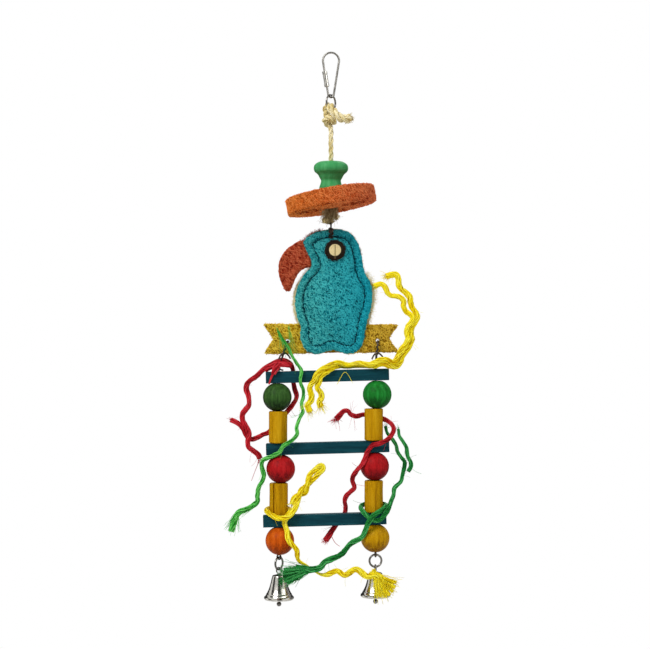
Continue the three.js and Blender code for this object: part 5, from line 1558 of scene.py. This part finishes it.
def spun_yarn(parts, path, diameter, rng, fullness):
    """Loosely spun yarn: fibres side by side round a core, wavering a little as they go."""
    frames = frames_along(path)
    reach = run_length(path)
    start = rng.uniform(0, 50)
    full = []
    for distance in reach:
        swell = 1 + SWELL * noise.noise(Vector((start, distance * SWELL_RATE, 0)))
        full.append(spread_at(fullness, distance / reach[-1]) * swell)
    # The core is coloured dark: painted shade in the gaps between the fibres
    tube(parts, path, [diameter * YARN_CORE * wide for wide in full], sides=8, shade=0.12)
    for fibre in range(YARN_FIBRES):
        lead = 2 * math.pi * (fibre + rng.uniform(-SCATTER, SCATTER)) / YARN_FIBRES
        own = diameter * rng.uniform(*YARN_REACH)
        thick = diameter * rng.uniform(*YARN_FIBRE)
        wave = rng.uniform(0, 2 * math.pi)
        points = []
        for point, (_, upright, side), distance, wide in zip(path, frames, reach, full):
            waver = WAVER * math.sin(wave + distance * WAVER_RATE)
            up, across = unit_turn(lead + 2 * math.pi * distance / YARN_PITCH + waver)
            out = own * wide * (1 + HEAVE * math.sin(wave + distance * HEAVE_RATE))
            points.append(point + (upright * up + side * across) * out)
        tube(parts, points, [thick * wide for wide in full], sides=5, shade=rng.uniform(0.25, 1.0))


def hair(parts, rng, start, direction, length, curl, radius):
    """One loose fibre that bends and tapers."""
    bend = Vector((rng.gauss(0, 1), rng.gauss(0, 0.6), rng.gauss(0, 1))) * curl * length
    wave = Vector((rng.gauss(0, 1), rng.gauss(0, 0.6), rng.gauss(0, 1))) * curl * length * HAIR_WAVE
    points = []
    radii = []
    for i in range(HAIR_STEPS + 1):
        t = i / HAIR_STEPS
        points.append(start + direction * (length * t) + bend * t * t + wave * math.sin(3 * math.pi * t) * t)
        radii.append(radius * (1 - HAIR_TAPER * i / HAIR_STEPS))
    tube(parts, points, radii, sides=3, shade=rng.uniform(0.3, 1))


def frayed(fans, rng):
    """Frayed ends: fans of fibres that spread from one place each."""
    loose = Parts()
    for start, direction, count, length, spread, radius in fans:
        heading = Vector(direction).normalized()
        curl = min(FRAY_CURL, FRAY_BEND / length)
        for _ in range(count):
            aside = Vector((rng.gauss(0, 1), rng.gauss(0, 0.7), rng.gauss(0, 1)))
            way = (heading + aside * spread).normalized()
            root = Vector(start) + aside * FRAY_WIDTH - heading * rng.uniform(0, 0.3) * length
            own_length = length * rng.uniform(0.5, 1.15)
            hair(loose, rng, root, way, own_length, curl, radius * rng.uniform(0.7, 1.2))
    return loose.mesh("fray")


def rope():
    rng = random.Random(23)
    hanging = Parts()
    laid_rope(hanging, smooth_route(ROPE_ROUTE, ROPE_STEP), rng, ROPE_FULLNESS)
    add_piece("sisal_rope", hanging.mesh("rope"), SISAL["natural"], "rope", "natural_sisal", "hanging_rope")
    add_piece("rope_tail_fray", frayed(TAIL_FRAYS, rng), SISAL["natural"], "rope", "natural_sisal")
    # The lower knot's fray takes the darker frayed sisal, which is painted shade
    add_piece("rope_knot_fray", frayed(KNOT_FRAYS, rng), SISAL["frayed"], "rope", "natural_sisal")


# Strands: dye, thickness, the body each rides on and how full the yarn is along it
STRAND_LOOKS = {
    "strand_red_upper": ("red", STRAND, "ladder", [(0, 1.3), (0.35, 1.35), (0.5, 1.15), (1, 1.25)]),
    "strand_green_left": ("green", STRAND, "ladder", [
        (0, 0.6), (0.15, 0.85), (0.5, 1), (0.8, 1.2), (1, 1.7),
    ]),
    "strand_yellow_tail": ("yellow", PLY, "parrot", [(0, 1.7), (0.3, 1.45), (1, 1.65)]),
    "strand_yellow_tail_end": ("yellow", PLY, "parrot", [(0, 1.75), (0.3, 1.6), (1, 1.65)]),
    "strand_yellow_upper": ("yellow", PLY, "ladder", [
        (0, 1.65), (0.28, 1.6), (0.4, 1.3), (0.6, 1.4), (1, 1.7),
    ]),
    "strand_yellow_upper_ply": ("yellow", PLY, "ladder", [
        (0, 1.65), (0.28, 1.5), (0.4, 0.9), (0.6, 1.3), (1, 1.7),
    ]),
    "strand_red_right": ("red", STRAND, "ladder", [(0, 1.5), (0.1, 1.2), (0.9, 1.2), (1, 1.7)]),
    "strand_green_right": ("dark_green", STRAND, "ladder", [
        (0, 0.9), (0.3, 1.2), (0.75, 1.3), (0.85, 1.5), (0.92, 1.6), (1, 1.3),
    ]),
    "strand_green_right_ply": ("dark_green", STRAND, "ladder", [(0, 0.8), (1, 1.2)]),
    "strand_yellow_lower": ("yellow", PLY, "ladder", [
        (0, 1.4), (0.7, 1.45), (0.76, 0.5), (0.79, 0.5), (0.83, 1.5), (0.95, 1.75), (1, 1.5),
    ]),
}


def strands():
    for seed, (name, (dye, diameter, body, fullness)) in enumerate(STRAND_LOOKS.items(), 31):
        path = smooth_route(STRAND_ROUTES[name], STRAND_STEP)
        slot = f"{dye}_sisal"
        yarn = Parts()
        spun_yarn(yarn, path, diameter, random.Random(seed), fullness)
        made = add_piece(f"{name}_yarn", yarn.mesh(name), SISAL[dye], body, slot, name)
        sleeve = Parts()
        tube(sleeve, path, diameter * HAIR_ROOTS, sides=6)
        hairs = stray_hairs(
            sleeve.mesh("sleeve"), SISAL[dye], seed, density=12000, length=0.01, thickness=0.00012,
        )
        add_piece(f"{name}_hairs", hairs, SISAL[dye], body, slot)


# Frayed ends of the strands: dye, body, and fans as the rope's
FRAYS = {
    "red_frays": ("red", "ladder", [
        ((-0.0618, -0.001, -0.3535), (0.5, -0.1, -1), 16, 0.005, 0.4, 0.0002),
        ((-0.0871, 0, -0.3185), (-1, 0, 0.3), 8, 0.003, 0.4, 0.0002),
        ((0.0038, -0.0005, -0.3184), (-0.7, 0, -0.6), 34, 0.0052, 0.4, 0.00022),
        ((0.018, -0.001, -0.311), (0.15, -0.2, 1), 3, 0.013, 0.25, 0.00014),
        ((0.02, -0.001, -0.316), (0.1, -0.1, -1), 3, 0.017, 0.2, 0.00014),
        ((-0.004, 0.003, -0.423), (-0.65, 0, -0.8), 40, 0.0042, 0.25, 0.00026),
        ((0.003, 0.004, -0.412), (-0.85, -0.2, -0.5), 6, 0.014, 0.2, 0.00014),
    ]),
    "green_frays": ("green", "ladder", [
        ((-0.0445, -0.0098, -0.2445), (0.35, 0, -1), 16, 0.022, 0.09, 0.00016),
        ((-0.036, -0.0098, -0.243), (0.15, 0, -1), 12, 0.024, 0.09, 0.00016),
        ((-0.0825, -0.002, -0.4025), (-0.35, -0.05, -1), 60, 0.015, 0.16, 0.00024),
        ((-0.0665, -0.003, -0.392), (-0.75, -0.1, -0.55), 24, 0.014, 0.14, 0.00018),
    ]),
    "dark_green_frays": ("dark_green", "ladder", [
        ((-0.019, -0.016, -0.4455), (-1, -0.02, 0.02), 60, 0.0235, 0.07, 0.0003),
        ((-0.019, -0.016, -0.4462), (-1, -0.02, -0.16), 80, 0.025, 0.07, 0.00034),
        ((-0.02, -0.016, -0.447), (-1, -0.02, -0.34), 80, 0.025, 0.07, 0.00034),
        ((-0.02, -0.016, -0.4475), (-0.9, -0.02, -0.5), 70, 0.0235, 0.07, 0.0003),
        ((0.0476, 0.0045, -0.3245), (0.1, 0, 1), 12, 0.004, 0.4, 0.00018),
        ((0.0584, -0.0065, -0.3264), (-0.1, 0, 1), 12, 0.004, 0.4, 0.00018),
    ]),
    "yellow_frays": ("yellow", "ladder", [
        ((-0.0186, -0.005, -0.3095), (0.1, 0, -1), 34, 0.0062, 0.35, 0.00024),
        ((-0.0088, -0.005, -0.3055), (0.4, 0, -0.8), 34, 0.0068, 0.4, 0.00024),
        ((-0.0195, -0.0055, -0.3035), (-1, -0.05, -0.55), 16, 0.008, 0.16, 0.00024),
        ((0.0385, -0.0165, -0.4515), (0.93, -0.02, -0.35), 55, 0.02, 0.06, 0.00036),
        ((0.0385, -0.0165, -0.4515), (0.72, -0.02, -0.68), 60, 0.0205, 0.06, 0.0004),
        ((0.0385, -0.0165, -0.4515), (0.42, -0.02, -0.9), 60, 0.0205, 0.06, 0.0004),
        ((0.0385, -0.0165, -0.4515), (0.12, -0.02, -1), 40, 0.0195, 0.06, 0.00036),
        ((-0.034, -0.006, -0.3915), (-0.4, 0, -1), 16, 0.005, 0.4, 0.0002),
    ]),
    "tail_frays": ("yellow", "parrot", [
        ((0.0385, 0, -0.2018), (-0.6, 0, -0.5), 26, 0.0045, 0.4, 0.00022),
        ((0.05, 0, -0.1935), (-0.9, 0, -0.3), 50, 0.0062, 0.4, 0.00022),
    ]),
}
# Single loose fibres: dye, radius at the root and route
LOOSE_FIBRES = {
    "yellow_arch_fibre": ("yellow", 0.00022, [
        (0.0052, -0.0062, -0.2874), (0.0122, -0.0066, -0.2769), (0.0191, -0.0062, -0.2865),
    ]),
    "red_rung_thread": ("red", 0.0012, [
        (-0.049, -0.0064, -0.277), (-0.0512, -0.0066, -0.2804), (-0.0537, -0.0066, -0.2874),
    ]),
    "red_stray_fibre": ("red", 0.0003, [
        (-0.0622, -0.001, -0.354), (-0.0642, -0.0015, -0.3585), (-0.0692, -0.001, -0.3714),
    ]),
    "red_end_fibre": ("red", 0.00032, [
        (0.0006, 0.002, -0.4205), (0.0038, 0.0015, -0.4258), (0.0077, 0.001, -0.4288),
    ]),
}
# Locks of the two brushes at the bottom: dye, root, and how far each lock reaches from it
BRUSH_LOCKS = {
    "dark_green_brush": ("dark_green", (-0.017, -0.016, -0.4462), [
        (-0.0235, 0.0008, -0.0004), (-0.0245, 0, -0.0032), (-0.0242, 0.0008, -0.0062), (-0.0228, 0, -0.0092),
        (-0.0205, 0.0008, -0.0118),
    ]),
    "yellow_brush": ("yellow", (0.038, -0.0165, -0.4508), [
        (0.0182, 0.0008, -0.0066), (0.0172, 0, -0.0106), (0.0152, 0.0008, -0.0146), (0.0122, 0, -0.0176),
        (0.0084, 0.0008, -0.0192), (0.0044, 0, -0.0186),
    ]),
}
# Wraps of the red strand round the left hanger, with how full the yarn is along each
RED_WRAPS = {
    "red_wrap": ([
        (-0.057, -0.0025, -0.2752), (-0.0525, -0.0044, -0.2724), (-0.0475, -0.005, -0.2702),
        (-0.0425, -0.005, -0.2697), (-0.038, -0.0046, -0.2703), (-0.0345, -0.003, -0.2714),
    ], [(0, 1.3), (0.4, 1.6), (0.8, 1.75), (1, 1.4)]),
    "red_wrap_end": ([
        (-0.0452, -0.0062, -0.2692), (-0.0472, -0.0072, -0.2724), (-0.0488, -0.0076, -0.2756),
        (-0.0496, -0.0072, -0.2784),
    ], [(0, 1.3), (0.5, 1.75), (1, 1.2)]),
}


def frayed_ends():
    for seed, (name, (dye, body, fans)) in enumerate(FRAYS.items(), 61):
        add_piece(name, frayed(fans, random.Random(seed)), SISAL[dye], body, f"{dye}_sisal")


def loose_fibres():
    for name, (dye, radius, route) in LOOSE_FIBRES.items():
        path = smooth_route(route, WIRE_STEP)
        radii = [radius * (1 - LOOSE_TAPER * i / len(path)) for i in range(len(path))]
        loose = Parts()
        tube(loose, path, radii, sides=6, shade=0.6)
        add_piece(name, loose.mesh(name), SISAL[dye], "ladder", f"{dye}_sisal")


def brushes():
    for seed, (name, (dye, root, reaches)) in enumerate(BRUSH_LOCKS.items(), 61):
        rng = random.Random(seed)
        foot = Vector(root)
        brush = Parts()
        for reach in reaches:
            bend = Vector((rng.gauss(0, LOCK_BEND), 0, rng.gauss(0, LOCK_BEND)))
            route = [foot, foot + Vector(reach) * 0.5 + bend, foot + Vector(reach)]
            spun_yarn(brush, smooth_route(route, STRAND_STEP), PLY, rng, LOCK_FULLNESS)
        add_piece(name, brush.mesh(name), SISAL[dye], "ladder", f"{dye}_sisal")


def red_wraps():
    for seed, (name, (route, fullness)) in enumerate(RED_WRAPS.items(), 71):
        wrap = Parts()
        spun_yarn(wrap, smooth_route(route, STRAND_STEP), STRAND, random.Random(seed), fullness)
        add_piece(name, wrap.mesh(name), SISAL["red"], "ladder", "red_sisal")


# Hairs along the parrot's edge: finish, slot, depth, and the corners, length and spacing of each span
FRINGES = {
    "cream_fringe": (CREAM, "cream_loofah", 0.0022, [
        (22, 31, 0.0034, 0.00018), (1, 8, 0.0018, 0.0004), (8, 13, 0.0055, 0.00012),
    ]),
    "brick_fringe": (BRICK, "brick_loofah", 0.0004, [(0, 2, 0.0034, 0.00008)]),
}


def fringes():
    for seed, (name, (material, slot, depth, spans)) in enumerate(FRINGES.items(), 81):
        rng = random.Random(seed)
        loose = Parts()
        for first, last, length, spacing in spans:
            for point in outline_line(first, last, spacing):
                away = (point - PARROT_MIDDLE).normalized()
                way = away + Vector([rng.gauss(0, FRINGE_SPREAD) for _ in range(3)])
                back_by = depth + rng.uniform(-FRINGE_SINK, FRINGE_SINK)
                root = point - away * FRINGE_SINK + Vector((0, back_by, 0))
                own_length = length * rng.uniform(0.5, 1.1)
                hair(loose, rng, root, way.normalized(), own_length, FRINGE_CURL, FRINGE_RADIUS)
        add_piece(name, loose.mesh(name), material, "parrot", slot)


rope()
strands()
frayed_ends()
loose_fibres()
brushes()
red_wraps()
fringes()
